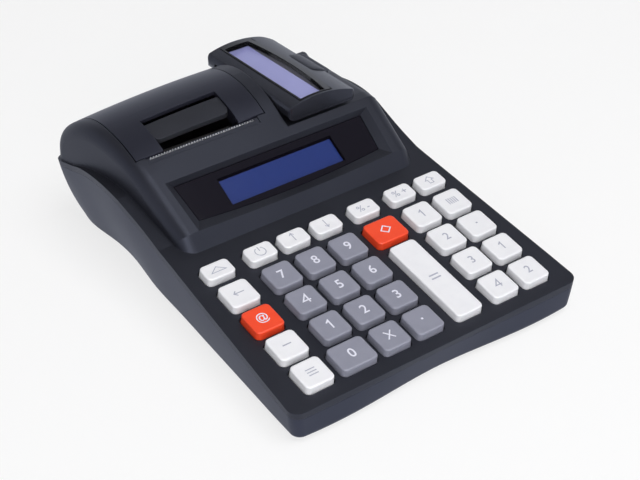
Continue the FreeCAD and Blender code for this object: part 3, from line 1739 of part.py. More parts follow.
def check_and_export():
    """Recompute, make sure that every object is sound, and write one file per sub-part."""
    doc.recompute()
    for item in doc.Objects:
        if "Invalid" in item.State or "Error" in item.State:
            raise RuntimeError("bad state: " + item.Label)
    os.makedirs("parts", exist_ok=True)
    for item in parts:
        shape = item.Shape
        if shape.isNull() or not shape.isValid():
            raise RuntimeError("bad shape: " + item.Label)
        if len(shape.Solids) < 1:
            raise RuntimeError("no solid: " + item.Label)
        shape.exportStep("parts/" + item.Label + ".step")


build()
check_and_export()
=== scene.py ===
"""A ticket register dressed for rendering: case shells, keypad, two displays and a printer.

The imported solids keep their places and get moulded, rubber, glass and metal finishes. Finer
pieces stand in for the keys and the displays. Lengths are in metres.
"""
import json
import logging
import math
from dataclasses import dataclass, field
from enum import Enum
from typing import Any, Callable, Iterable, Sequence

import bmesh
import bpy
from mathutils import Matrix, Vector

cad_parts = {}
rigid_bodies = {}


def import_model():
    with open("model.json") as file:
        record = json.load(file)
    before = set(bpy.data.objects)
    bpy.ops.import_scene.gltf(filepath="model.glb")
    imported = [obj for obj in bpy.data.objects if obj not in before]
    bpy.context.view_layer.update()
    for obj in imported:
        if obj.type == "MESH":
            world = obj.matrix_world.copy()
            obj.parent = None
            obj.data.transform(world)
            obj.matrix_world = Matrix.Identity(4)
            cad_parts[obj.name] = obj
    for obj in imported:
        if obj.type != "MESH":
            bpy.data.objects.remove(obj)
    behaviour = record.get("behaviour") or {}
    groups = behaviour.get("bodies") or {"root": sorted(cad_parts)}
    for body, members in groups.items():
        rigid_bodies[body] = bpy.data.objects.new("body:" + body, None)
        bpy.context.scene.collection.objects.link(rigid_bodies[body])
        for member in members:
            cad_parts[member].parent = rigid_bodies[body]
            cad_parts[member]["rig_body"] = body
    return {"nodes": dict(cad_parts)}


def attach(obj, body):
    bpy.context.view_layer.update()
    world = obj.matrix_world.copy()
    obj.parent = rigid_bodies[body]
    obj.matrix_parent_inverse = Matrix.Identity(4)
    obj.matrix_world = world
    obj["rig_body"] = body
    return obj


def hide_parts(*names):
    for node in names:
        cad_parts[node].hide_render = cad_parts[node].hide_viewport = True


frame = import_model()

LOG = logging.getLogger("ticket_register")
MM = 0.001
EDGE_GAIN = 6.0
SMOOTH_ANGLE = math.radians(35.0)
DIGIT_HEIGHT = 5.1 * MM
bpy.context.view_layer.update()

Colour = tuple[float, float, float]
Point2 = tuple[float, float]
Stroke = tuple[tuple[Point2, ...], bool]
Source = Any


# Shader arithmetic

class Signal:
    """A value that varies over a surface and takes part in plain arithmetic."""

    def __init__(self, graph: "Graph", socket: bpy.types.NodeSocket) -> None:
        """Keep the socket and the graph that it belongs to."""
        self.graph = graph
        self.socket = socket

    def __add__(self, other: Source) -> "Signal":
        """Sum of two values."""
        return self.graph.math("ADD", self, other)

    def __sub__(self, other: Source) -> "Signal":
        """Difference of two values."""
        return self.graph.math("SUBTRACT", self, other)

    def __rsub__(self, other: Source) -> "Signal":
        """Difference with the plain number on the left."""
        return self.graph.math("SUBTRACT", other, self)

    def __mul__(self, other: Source) -> "Signal":
        """Product of two values."""
        return self.graph.math("MULTIPLY", self, other)

    def __truediv__(self, other: Source) -> "Signal":
        """Quotient of two values."""
        return self.graph.math("DIVIDE", self, other)

    def __pow__(self, other: Source) -> "Signal":
        """Power of a value."""
        return self.graph.math("POWER", self, other)

    __radd__ = __add__
    __rmul__ = __mul__

    def least(self, other: Source) -> "Signal":
        """The smaller of two values."""
        return self.graph.math("MINIMUM", self, other)

    def most(self, other: Source) -> "Signal":
        """The larger of two values."""
        return self.graph.math("MAXIMUM", self, other)

    def away(self) -> "Signal":
        """The value without its sign."""
        return self.graph.math("ABSOLUTE", self)

    def step(self, low: float, high: float) -> "Signal":
        """A smooth change from 0 to 1.

        Args:
            low: The value at which the change starts.
            high: The value at which it ends.

        Returns:
            The changed value, held between 0 and 1.
        """
        node = self.graph.node("ShaderNodeMapRange", {"interpolation_type": "SMOOTHSTEP"},
                               {"Value": self, "From Min": low, "From Max": high})
        return Signal(self.graph, node.outputs["Result"])


class Graph:
    """The node tree of one material."""

    def __init__(self, name: str) -> None:
        """Start an empty material.

        Args:
            name: The material's name.
        """
        self.material = bpy.data.materials.new(name)
        self.material.use_nodes = True
        self.tree = self.material.node_tree
        self.tree.nodes.clear()

    def node(self, kind: str, settings: dict[str, Any] | None = None,
             sockets: dict[Any, Source] | None = None) -> bpy.types.Node:
        """Add one node.

        Args:
            kind: Blender's name for the node's type.
            settings: The node's own settings, with a ramp's stops under "stops".
            sockets: Values or links for its inputs, by name or number.

        Returns:
            The new node.
        """
        made = self.tree.nodes.new(kind)
        for name, value in (settings or {}).items():
            if name == "stops":
                self._set_stops(made.color_ramp.elements, value)
            else:
                setattr(made, name, value)
        for key, value in (sockets or {}).items():
            self._feed(made.inputs[key], value)
        return made

    def _set_stops(self, elements: Any, stops: Sequence[tuple[float, Colour]]) -> None:
        """Give a colour ramp its stops."""
        while len(elements) < len(stops):
            elements.new(1.0)
        for element, (position, colour) in zip(elements, stops):
            element.position = position
            element.color = (*colour, 1.0)

    def _feed(self, socket: bpy.types.NodeSocket, value: Source) -> None:
        """Link a socket to a signal, or set its value."""
        if isinstance(value, Signal):
            self.tree.links.new(value.socket, socket)
        elif isinstance(value, tuple) and len(value) == 3 and socket.type == "RGBA":
            socket.default_value = (*value, 1.0)
        else:
            socket.default_value = value

    def math(self, operation: str, *values: Source) -> Signal:
        """One step of arithmetic on values."""
        node = self.node("ShaderNodeMath", {"operation": operation}, dict(enumerate(values)))
        return Signal(self, node.outputs[0])

    def vector(self, operation: str, *values: Source) -> Signal:
        """One step of arithmetic on vectors."""
        node = self.node("ShaderNodeVectorMath", {"operation": operation},
                         dict(enumerate(values)))
        single = operation in ("DOT_PRODUCT", "LENGTH", "DISTANCE")
        return Signal(self, node.outputs[1 if single else 0])

    def mix(self, share: Source, low: Source, high: Source) -> Signal:
        """Blend two colours.

        Args:
            share: How much of the second colour shows, 0 to 1.
            low: The first colour.
            high: The second colour.

        Returns:
            The blended colour.
        """
        node = self.node("ShaderNodeMix", {"data_type": "RGBA"}, {0: share, 6: low, 7: high})
        return Signal(self, node.outputs[2])

    def place(self) -> Signal:
        """The point on the piece, in metres."""
        return Signal(self, self.node("ShaderNodeTexCoord").outputs["Object"])

    def axis(self, name: str) -> Signal:
        """One coordinate of the point on the piece."""
        split = self.node("ShaderNodeSeparateXYZ", None, {0: self.place()})
        return Signal(self, split.outputs[name])

    def noise(self, grain: float, detail: float = 2.0, stretch: Colour | None = None) -> Signal:
        """A soft random pattern.

        Args:
            grain: Size of its patches in metres.
            detail: Number of finer layers.
            stretch: How much finer it is along each axis, for drawn or brushed marks.

        Returns:
            A value between 0 and 1.
        """
        point = self.place()
        if stretch:
            point = self.vector("MULTIPLY", point, stretch)
        node = self.node("ShaderNodeTexNoise", None,
                         {"Vector": point, "Scale": 1 / grain, "Detail": detail})
        return Signal(self, node.outputs["Fac"])

    def edge(self, radius: float) -> tuple[Signal, Signal]:
        """The softened normal near edges, and a mask of the edges.

        Args:
            radius: How far an edge is rounded over.

        Returns:
            The softened normal, and a value that is 0 on a flat and rises towards an edge.
        """
        soft = self.node("ShaderNodeBevel", {"samples": 4}, {"Radius": radius})
        normal = Signal(self, soft.outputs[0])
        flat = Signal(self, self.node("ShaderNodeNewGeometry").outputs["Normal"])
        turn = 1 - self.vector("DOT_PRODUCT", normal, flat)
        return normal, turn

    def bump(self, height: Signal, depth: float, normal: Signal | None = None) -> Signal:
        """A bumped normal.

        Args:
            height: The relief, 0 to 1.
            depth: How deep it is, in metres.
            normal: The normal that it starts from.

        Returns:
            The new normal.
        """
        sockets = {"Height": height, "Distance": depth}
        if normal:
            sockets["Normal"] = normal
        return Signal(self, self.node("ShaderNodeBump", None, sockets).outputs[0])

    def close(self, sockets: dict[str, Source]) -> bpy.types.Material:
        """End the tree with one surface shader.

        Args:
            sockets: Values or links of the shader's inputs.

        Returns:
            The finished material.
        """
        shader = self.node("ShaderNodeBsdfPrincipled", None, sockets)
        self.node("ShaderNodeOutputMaterial", None, {"Surface": Signal(self, shader.outputs[0])})
        return self.material


# Finishes

@dataclass(frozen=True)
class MouldedPlastic:
    """Black or slate plastic with a fine sparked texture, edges rubbed smooth and a painted
    highlight along them.
    """

    name: str
    tone: Colour
    mottle_and_highlight_tone: Colour
    roughness: float = 0.46
    roughness_spread: float = 0.08
    grain: float = 0.32 * MM
    grain_depth: float = 0.012 * MM
    edge_radius: float = 0.35 * MM
    edge_gloss: float = 0.12
    edge_painted_highlight: float = 0.35
    cloud: float = 28 * MM
    sheen: Colour = (0.70, 0.76, 1.0)

    def make(self) -> bpy.types.Material:
        """Build the material."""
        graph = Graph(self.name)
        normal, edge = graph.edge(self.edge_radius)
        # edge mask: it smooths the edges and carries the painted edge highlight
        rub_and_highlight = (edge * EDGE_GAIN).least(1.0)
        cloud = graph.noise(self.cloud, 3.0)
        speck = graph.noise(self.grain, 2.0)
        shade = (cloud * 0.6 + speck * 0.4).step(0.3, 0.75)
        colour = graph.mix(shade, self.tone, self.mottle_and_highlight_tone)
        # painted highlight: the base colour lightens along the edges
        colour = graph.mix(rub_and_highlight * self.edge_painted_highlight, colour, self.mottle_and_highlight_tone)
        rough = self.roughness + (cloud - 0.5) * self.roughness_spread
        rough = rough + (speck - 0.5) * self.roughness_spread - rub_and_highlight * self.edge_gloss
        return graph.close({
            "Base Color": colour,
            "Roughness": rough,
            "Normal": graph.bump(speck, self.grain_depth, normal),
            "Specular Tint": self.sheen,
        })


@dataclass(frozen=True)
class KeyPlastic:
    """Satin key plastic, faintly mottled, with finger-polished crowns."""

    name: str
    tone: Colour
    shadow_tone: Colour
    roughness: float = 0.36

    def make(self) -> bpy.types.Material:
        """Build the material."""
        graph = Graph(self.name)
        cloud = graph.noise(6 * MM, 3.0)
        speck = graph.noise(0.22 * MM, 1.0)
        colour = graph.mix(cloud.step(0.35, 0.8) * 0.5, self.tone, self.shadow_tone)
        smear = graph.noise(3 * MM, 4.0, (1.0, 2.5, 1.0))
        rough = self.roughness + (smear - 0.5) * 0.16 + (speck - 0.5) * 0.06
        return graph.close({
            "Base Color": colour,
            "Roughness": rough,
            "Normal": graph.bump(speck, 0.006 * MM),
        })


@dataclass(frozen=True)
class PrintedInk:
    """Thin printed ink, a little uneven."""

    name: str
    tone: Colour
    thin_tone: Colour

    def make(self) -> bpy.types.Material:
        """Build the material."""
        graph = Graph(self.name)
        patch = graph.noise(0.5 * MM, 2.0)
        return graph.close({
            "Base Color": graph.mix(patch.step(0.5, 0.85), self.tone, self.thin_tone),
            "Roughness": 0.5 + (patch - 0.5) * 0.2,
        })


@dataclass(frozen=True)
class Rubber:
    """Dull rubber with a dry bloom."""

    name: str
    tone: Colour
    bloom: Colour
    roughness: float = 0.78

    def make(self) -> bpy.types.Material:
        """Build the material."""
        graph = Graph(self.name)
        cloud = graph.noise(4 * MM, 4.0)
        speck = graph.noise(0.15 * MM, 2.0)
        return graph.close({
            "Base Color": graph.mix(cloud.step(0.4, 0.8) * 0.6, self.tone, self.bloom),
            "Roughness": self.roughness + (speck - 0.5) * 0.15,
            "Normal": graph.bump(speck, 0.01 * MM),
            "Specular IOR Level": 0.3,
        })


@dataclass(frozen=True)
class Metal:
    """Steel or aluminium with marks along one direction."""

    name: str
    tone: Colour
    dull_tone: Colour
    roughness: float = 0.3
    along: Colour = (0.06, 1.0, 1.0)
    mark: float = 0.25 * MM

    def make(self) -> bpy.types.Material:
        """Build the material."""
        graph = Graph(self.name)
        normal, edge = graph.edge(0.12 * MM)
        drawn = graph.noise(self.mark, 3.0, self.along)
        cloud = graph.noise(5 * MM, 2.0)
        colour = graph.mix(drawn.step(0.3, 0.8) * 0.5, self.tone, self.dull_tone)
        return graph.close({
            "Base Color": colour,
            "Metallic": 1.0,
            "Roughness": self.roughness + (drawn - 0.5) * 0.2 + (cloud - 0.5) * 0.1,
            "Normal": graph.bump(drawn, 0.004 * MM, normal),
        })


@dataclass(frozen=True)
class DisplayGlass:
    """A liquid-crystal panel: a coloured field with the faint cells of its characters."""

    name: str
    tone: Colour
    edge_tone: Colour
    cell_tone: Colour
    along: str
    middle: Point2
    cell: Point2
    glow: float = 0.0

    def make(self) -> bpy.types.Material:
        """Build the material."""
        graph = Graph(self.name)
        across = "Y" if self.along == "X" else "X"
        run = graph.axis(self.along) - self.middle[0]
        rise = graph.axis(across) - self.middle[1]
        gap = 0.08
        cell_run = graph.math("PINGPONG", run / self.cell[0], 0.5)
        cell_rise = graph.math("PINGPONG", rise / self.cell[1], 0.5)
        inside = cell_run.step(gap, gap * 1.6) * cell_rise.step(gap * 0.6, gap * 1.2)
        fade = graph.noise(30 * MM, 1.0)
        colour = graph.mix(fade.step(0.3, 0.8), self.tone, self.edge_tone)
        colour = graph.mix(inside * 0.25, colour, self.cell_tone)
        return graph.close({
            "Base Color": colour,
            "Roughness": 0.16 + (graph.noise(0.2 * MM, 1.0) - 0.5) * 0.08,
            "Emission Color": colour,
            "Emission Strength": self.glow,
        })


@dataclass(frozen=True)
class BorderedGlass:
    """A moulded window, clear inside a black border that each kind draws: printed on the smoked
    window, partly painted shade on the arched lens.
    """

    name: str
    tone: Colour
    clear: float
    roughness: float
    scratches: float
    specular: float

    def border(self, graph: Graph) -> Signal:
        """A mask that is 1 on the printed border."""
        raise NotImplementedError

    def make(self) -> bpy.types.Material:
        """Build the material."""
        graph = Graph(self.name)
        scratch = graph.noise(0.3 * MM, 2.0, (1.0, 0.15, 1.0))
        return graph.close({
            "Base Color": self.tone,
            "Roughness": self.roughness + (scratch - 0.5) * self.scratches,
            "Alpha": self.clear + self.border(graph) * (1 - self.clear),
            "Specular IOR Level": self.specular,
        })


@dataclass(frozen=True)
class WindowGlass(BorderedGlass):
    """A window with a rectangular view."""

    middle: Point2
    half_view: Point2
    rise_share: float
    soft: float = 0.05 * MM

    def border(self, graph: Graph) -> Signal:
        """A mask that is 1 outside the view."""
        run = (graph.axis("X") - self.middle[0]).away()
        rise = (graph.axis("Y") - self.middle[1]).away() / self.rise_share
        wide, high = self.half_view
        return run.step(wide, wide + self.soft).most(rise.step(high, high + self.soft))


@dataclass(frozen=True)
class ArchedGlass(BorderedGlass):
    """A crowned lens whose view bows out on its right; the black band beyond that bowed edge is
    painted shade for the step of the window recess.
    """

    left_x: float
    right_x: float
    bow: float
    front_y: float
    rear_y: float
    soft: float = 0.06 * MM

    def border(self, graph: Graph) -> Signal:
        """A mask that is 1 outside the bowed view; its right band is painted shade."""
        middle = (self.front_y + self.rear_y) / 2
        half = (self.rear_y - self.front_y) / 2
        away = ((graph.axis("Y") - middle) / half).away()
        right = self.right_x + (1 - away ** 2.0) * self.bow
        over = graph.axis("X") - right
        left = self.left_x - graph.axis("X")
        return over.most(left).most((away - 1.0) * half).step(0.0, self.soft)


@dataclass(frozen=True)
class CircuitBoard:
    """Green board with tracks that show through the resist."""

    name: str
    tone: Colour
    track_tone: Colour

    def make(self) -> bpy.types.Material:
        """Build the material."""
        graph = Graph(self.name)
        lanes = graph.math("PINGPONG", graph.axis("X") / (1.3 * MM), 0.5)
        bend = graph.noise(9 * MM, 0.0)
        tracks = (lanes + bend * 0.6).step(0.55, 0.6)
        return graph.close({
            "Base Color": graph.mix(tracks, self.tone, self.track_tone),
            "Roughness": 0.4 - tracks * 0.1,
            "Normal": graph.bump(tracks, 0.02 * MM),
        })


class Finish(Enum):
    """Every finish of the register, by what it covers."""

    CASE_UPPER = MouldedPlastic("case_upper", (0.0088, 0.0088, 0.0115), (0.013, 0.0132, 0.017))
    CASE_LOWER = MouldedPlastic("case_lower", (0.011, 0.013, 0.023), (0.017, 0.019, 0.032))
    COVER = MouldedPlastic("cover_plastic", (0.010, 0.010, 0.016), (0.016, 0.016, 0.024),
                           roughness=0.38)
    LEVER = MouldedPlastic("lever_plastic", (0.014, 0.014, 0.016), (0.020, 0.020, 0.023))
    DISPLAY_SHELL = MouldedPlastic("display_shell", (0.0095, 0.0095, 0.012),
                                   (0.014, 0.014, 0.018), roughness=0.22,
                                   grain_depth=0.003 * MM)
    # darker than the display shell: painted shade on the finger tab's steep slope
    GRIP = MouldedPlastic("grip_plastic", (0.006, 0.006, 0.008), (0.010, 0.010, 0.013),
                          roughness=0.38)
    LCD_SURROUND = MouldedPlastic("lcd_surround", (0.10, 0.10, 0.125), (0.12, 0.12, 0.145),
                                  roughness=0.5)
    FRAME = MouldedPlastic("frame_plastic", (0.010, 0.008, 0.008), (0.016, 0.013, 0.013),
                           roughness=0.6)
    JACK = MouldedPlastic("jack_plastic", (0.012, 0.012, 0.013), (0.02, 0.02, 0.02))
    KEY_WHITE = KeyPlastic("key_white", (0.86, 0.86, 0.89), (0.80, 0.80, 0.84))
    KEY_GREY = KeyPlastic("key_grey", (0.27, 0.275, 0.34), (0.235, 0.24, 0.30))
    KEY_RED = KeyPlastic("key_red", (0.93, 0.075, 0.022), (0.85, 0.055, 0.018))
    INK_PALE = PrintedInk("ink_pale", (0.78, 0.78, 0.88), (0.66, 0.66, 0.76))
    INK_GREY = PrintedInk("ink_grey", (0.40, 0.41, 0.50), (0.50, 0.51, 0.60))
    MAT_RUBBER = Rubber("mat_rubber", (0.30, 0.31, 0.32), (0.40, 0.41, 0.42))
    FOOT_RUBBER = Rubber("foot_rubber", (0.022, 0.022, 0.023), (0.06, 0.06, 0.06))
    PLATEN_RUBBER = Rubber("platen_rubber", (0.028, 0.027, 0.028), (0.05, 0.05, 0.05), 0.6)
    LCD_BLUE = DisplayGlass("lcd_blue", (0.027, 0.053, 0.245), (0.030, 0.058, 0.255),
                            (0.031, 0.060, 0.27), "X", (0.0, 19.3 * MM),
                            (3.55 * MM, 4.86 * MM), 0.06)
    LCD_PALE = DisplayGlass("lcd_pale", (0.41, 0.42, 0.80), (0.38, 0.39, 0.76),
                            (0.43, 0.44, 0.83), "Y", (68.0 * MM, 30.8 * MM),
                            (3.55 * MM, 5.56 * MM), 0.02)
    METAL_SCREW = Metal("screw_steel", (0.55, 0.55, 0.56), (0.4, 0.4, 0.41))
    METAL_PIN = Metal("pin_steel", (0.62, 0.62, 0.63), (0.48, 0.48, 0.49), 0.22)
    METAL_MOTOR = Metal("motor_steel", (0.5, 0.5, 0.5), (0.38, 0.38, 0.38), 0.35)
    METAL_TEAR = Metal("tear_steel", (0.86, 0.85, 0.84), (0.70, 0.69, 0.68), 0.36)
    METAL_HEAD = Metal("head_aluminium", (0.65, 0.65, 0.66), (0.5, 0.5, 0.51), 0.4)
    BOARD = CircuitBoard("circuit_board", (0.012, 0.12, 0.045), (0.03, 0.22, 0.08))
    WRAP = KeyPlastic("battery_wrap", (0.04, 0.09, 0.30), (0.03, 0.07, 0.24), 0.3)
    GEAR = KeyPlastic("gear_plastic", (0.78, 0.77, 0.72), (0.68, 0.66, 0.6), 0.45)

    def material(self) -> bpy.types.Material:
        """The finish's material, made on first use."""
        found = bpy.data.materials.get("finish_" + self.value.name)
        if found is None:
            found = self.value.make()
            found.name = "finish_" + self.value.name
        return found


# Meshes

class PieceMaker:
    """Collects the closed shells of one piece and turns them into an object."""

    def __init__(self, name: str, placement: Matrix | None = None) -> None:
        """Start an empty piece.

        Args:
            name: The piece's name.
            placement: Where its own axes stand in the register.
        """
        self.name = name
        self.placement = placement or Matrix.Identity(4)
        self.mesh = bmesh.new()
        self.finishes: list[Finish] = []

    def _finish_index(self, finish: Finish) -> int:
        """The place of a finish in the piece's list."""
        if finish not in self.finishes:
            self.finishes.append(finish)
        return self.finishes.index(finish)

    def loft(self, loops: Sequence[Sequence[Vector]], finish: Finish) -> None:
        """Add a closed shell through loops of equal length, capped at both ends.

        Args:
            loops: Rings of points, from one end to the other.
            finish: What covers it.
        """
        index = self._finish_index(finish)
        rings = [[self.mesh.verts.new(point) for point in loop] for loop in loops]
        for low, high in zip(rings, rings[1:]):
            for here in range(len(low)):
                there = (here + 1) % len(low)
                face = self.mesh.faces.new((low[here], low[there], high[there], high[here]))
                face.material_index = index
        for ring in (list(reversed(rings[0])), rings[-1]):
            self.mesh.faces.new(ring).material_index = index

    def prism(self, outline: Sequence[Point2], low: float, high: float, finish: Finish,
              bevel: float = 0.0) -> None:
        """Add a plate with this outline.

        Args:
            outline: Its corners, counter-clockwise from above.
            low: Height of its underside.
            high: Height of its top.
            finish: What covers it.
            bevel: How much its top edge is broken.
        """
        loops = [[Vector((x, y, low)) for x, y in outline]]
        loops.append([Vector((x, y, high - bevel)) for x, y in outline])
        if bevel:
            inner = inset_outline(outline, bevel)
            loops.append([Vector((x, y, high)) for x, y in inner])
        self.loft(loops, finish)

    def take_mesh(self, mesh: bpy.types.Mesh, finish: Finish,
                  shape: Callable[[Vector], Vector]) -> None:
        """Add another mesh, point by point, and delete it.

        Args:
            mesh: The mesh to add.
            finish: What covers it.
            shape: Where each of its points goes.
        """
        index = self._finish_index(finish)
        before = len(self.mesh.faces)
        for vertex in mesh.vertices:
            vertex.co = shape(vertex.co.copy())
        self.mesh.from_mesh(mesh)
        self.mesh.faces.ensure_lookup_table()
        for face in self.mesh.faces[before:]:
            face.material_index = index
        bpy.data.meshes.remove(mesh)

    def finish(self, body: str, slot: str,
               stands_for: Iterable[str] = ()) -> bpy.types.Object:
        """Turn the collected shells into an object that rides on a body.

        Args:
            body: The body that carries it.
            slot: The record's material slot; not used.
            stands_for: The nodes that it replaces.

        Returns:
            The new object.
        """
        bmesh.ops.recalc_face_normals(self.mesh, faces=self.mesh.faces)
        for face in self.mesh.faces:
            face.smooth = True
        for edge in self.mesh.edges:
            edge.smooth = len(edge.link_faces) == 2 and edge.calc_face_angle(0.0) < SMOOTH_ANGLE
        self.mesh.transform(self.placement)
        data = bpy.data.meshes.new(self.name)
        self.mesh.to_mesh(data)
        self.mesh.free()
        for finish in self.finishes:
            data.materials.append(finish.material())
        piece = bpy.data.objects.new(self.name, data)
        bpy.context.scene.collection.objects.link(piece)
        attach(piece, body)
        for node in stands_for:
            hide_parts(node)
        LOG.info("%s: %d faces on %s", self.name, len(data.polygons), body)
        return piece


def inset_outline(outline: Sequence[Point2], inset: float) -> list[Point2]:
    """Move an outline inwards.

    Args:
        outline: Its corners, counter-clockwise.
        inset: How far each side moves.

    Returns:
        The moved corners.
    """
    moved = []
    for here, point in enumerate(outline):
        before = Vector(point) - Vector(outline[here - 1])
        after = Vector(outline[(here + 1) % len(outline)]) - Vector(point)
        first = Vector((-before.y, before.x)).normalized()
        second = Vector((-after.y, after.x)).normalized()
        middle = (first + second).normalized()
        reach = inset / max(middle.dot(first), 0.3)
        moved.append((point[0] + middle.x * reach, point[1] + middle.y * reach))
    return moved


def rounded_outline(half_width: float, half_depth: float, radius: float,
                    steps: int = 6) -> list[Point2]:
    """A rectangle with round corners.

    Args:
        half_width: Half its size across.
        half_depth: Half its size up the deck.
        radius: Radius of its corners.
        steps: Spans in each corner.

    Returns:
        Its points, counter-clockwise.
    """
    radius = min(radius, half_width, half_depth)
    points = []
    for corner, (side_x, side_y) in enumerate(((1, 1), (-1, 1), (-1, -1), (1, -1))):
        for step in range(steps + 1):
            angle = math.pi / 2 * (corner + step / steps)
            points.append((side_x * (half_width - radius) + radius * math.cos(angle),
                           side_y * (half_depth - radius) + radius * math.sin(angle)))
    return points


def rectangle(left: float, right: float, front: float, rear: float) -> list[Point2]:
    """The corners of a rectangle, counter-clockwise."""
    return [(left, front), (right, front), (right, rear), (left, rear)]


def swept_loops(spans: int, across: int,
                profile: Callable[[float, float], tuple[Vector, Vector]]) -> list[list[Vector]]:
    """Rings of a curved plate, from one end to the other.

    Args:
        spans: Spans along the plate.
        across: Spans across it.
        profile: Gives the top and the underside at shares of its length and width.

    Returns:
        One ring for each step along the plate.
    """
    loops = []
    for step in range(spans + 1):
        pairs = [profile(step / spans, turn / across) for turn in range(across + 1)]
        loops.append([top for top, _ in pairs] + [under for _, under in reversed(pairs)])
    return loops


def text_mesh(text: str, height: float, thickness: float, weight: float) -> bpy.types.Mesh:
    """Digits or signs as a thin solid, centred on its own origin.

    Args:
        text: What it says.
        height: Height of a digit.
        thickness: How thick the ink stands.
        weight: How far each line is widened on either side.

    Returns:
        A new mesh in its own plane.
    """
    curve = bpy.data.curves.new("legend", "FONT")
    curve.body = text
    curve.size = height / 0.72
    curve.offset = weight
    curve.extrude = thickness / 2
    curve.resolution_u = 5
    curve.align_x = "CENTER"
    holder = bpy.data.objects.new("legend", curve)
    bpy.context.scene.collection.objects.link(holder)
    bpy.context.view_layer.update()
    mesh = bpy.data.meshes.new_from_object(holder)
    bpy.data.objects.remove(holder)
    bpy.data.curves.remove(curve)
    low = Vector([min(v.co[axis] for v in mesh.vertices) for axis in range(3)])
    high = Vector([max(v.co[axis] for v in mesh.vertices) for axis in range(3)])
    middle = (low + high) / 2
    for vertex in mesh.vertices:
        vertex.co -= middle
    return mesh


def stroke_outline(points: Sequence[Point2], width: float, closed: bool) -> list[list[Point2]]:
    """The quads of a drawn line.

    Args:
        points: The line's corners.
        width: How wide it is drawn.
        closed: Whether it comes back to its start.

    Returns:
        One four-cornered outline for each span, meeting at mitred corners.
    """
    count = len(points)
    sides = []
    for here, point in enumerate(points):
        before = Vector(points[here - 1]) if closed or here else None
        after = Vector(points[(here + 1) % count]) if closed or here < count - 1 else None
        centre = Vector(point)
        ways = []
        if before is not None:
            ways.append((centre - before).normalized())
        if after is not None:
            ways.append((after - centre).normalized())
        normals = [Vector((-way.y, way.x)) for way in ways]
        middle = sum(normals, Vector((0, 0))).normalized()
        reach = width / 2 / max(middle.dot(normals[0]), 0.35)
        sides.append((centre + middle * reach, centre - middle * reach))
    spans = range(count if closed else count - 1)
    quads = []
    for here in spans:
        start = sides[here]
        end = sides[(here + 1) % count]
        quads.append([tuple(start[1]), tuple(end[1]), tuple(end[0]), tuple(start[0])])
    return quads


def arc_points(radius: float, start: float, end: float, steps: int) -> list[Point2]:
    """Points along an arc about the origin, its angles in degrees."""
    points = []
    for step in range(steps + 1):
        angle = math.radians(start + (end - start) * step / steps)
        points.append((radius * math.cos(angle), radius * math.sin(angle)))
    return points


# Keypad

@dataclass(frozen=True)
class Sign:
    """What is printed on a key: a digit or sign, or drawn strokes."""

    text: str = ""
    height: float = DIGIT_HEIGHT
    lift: float = 0.3 * MM
    strokes: tuple[Stroke, ...] = ()
    line: float = 0.42 * MM
    weight: float = 0.07 * MM


def stroke(points: Sequence[Point2], closed: bool = False) -> Stroke:
    """A drawn line of a sign, its points in millimetres."""
    return tuple((x * MM, y * MM) for x, y in points), closed


def scaled(strokes: Iterable[Stroke], share: float) -> tuple[Stroke, ...]:
    """The same strokes at another size."""
    return tuple((tuple((x * share, y * share) for x, y in points), closed)
                 for points, closed in strokes)


ARROW_UP = (stroke([(0, -2.6), (0, 2.4)]), stroke([(-1.1, 1.2), (0, 2.6), (1.1, 1.2)]))
ARROW_DOWN = (stroke([(0, 2.6), (0, -2.4)]), stroke([(-1.1, -1.2), (0, -2.6), (1.1, -1.2)]))
ARROW_LEFT = (stroke([(2.6, 0), (-2.4, 0)]), stroke([(-1.2, 1.4), (-2.6, 0), (-1.2, -1.4)]))
POWER = (stroke(arc_points(2.6, 118, 422, 24)), stroke([(0, 0.4), (0, 3.1)]))
TRIANGLE = (stroke([(-3.8, -1.5), (3.8, -1.5), (0, 1.5)], True),)
SHIFT = (stroke([(-1.1, -2.2), (1.1, -2.2), (1.1, 0.2), (2.4, 0.2), (0, 2.5), (-2.4, 0.2),
                 (-1.1, 0.2)], True),)
ONE = (stroke([(-1.2, 1.25), (0.35, 2.55), (0.35, -2.55)]),)
FOUR = (stroke([(0.95, -2.55), (0.95, 2.5), (-1.95, -1.05), (2.1, -1.05)]),)
CROSS = (stroke([(-1.9, -2.3), (1.9, 2.3)]), stroke([(-1.9, 2.3), (1.9, -2.3)]))
DOT = (stroke([(-0.5, 0.0), (0.5, 0.0)]),)
MINUS = (stroke([(-2.2, 0.0), (2.2, 0.0)]),)
EQUALS = (stroke([(-2.6, 1.1), (2.6, 1.1)]), stroke([(-2.6, -1.1), (2.6, -1.1)]))
DIAMOND = (stroke([(-2.7, 0.0), (0.0, -2.4), (2.7, 0.0), (0.0, 2.4)], True),)
BARS = tuple(stroke([(x, -2.0), (x, 2.0)]) for x in (-2.4, -1.2, 0.0, 1.2, 2.4))
STEPS = tuple(stroke([(-2.4, y), (2.4, y)]) for y in (1.6, 0.0, -1.6))
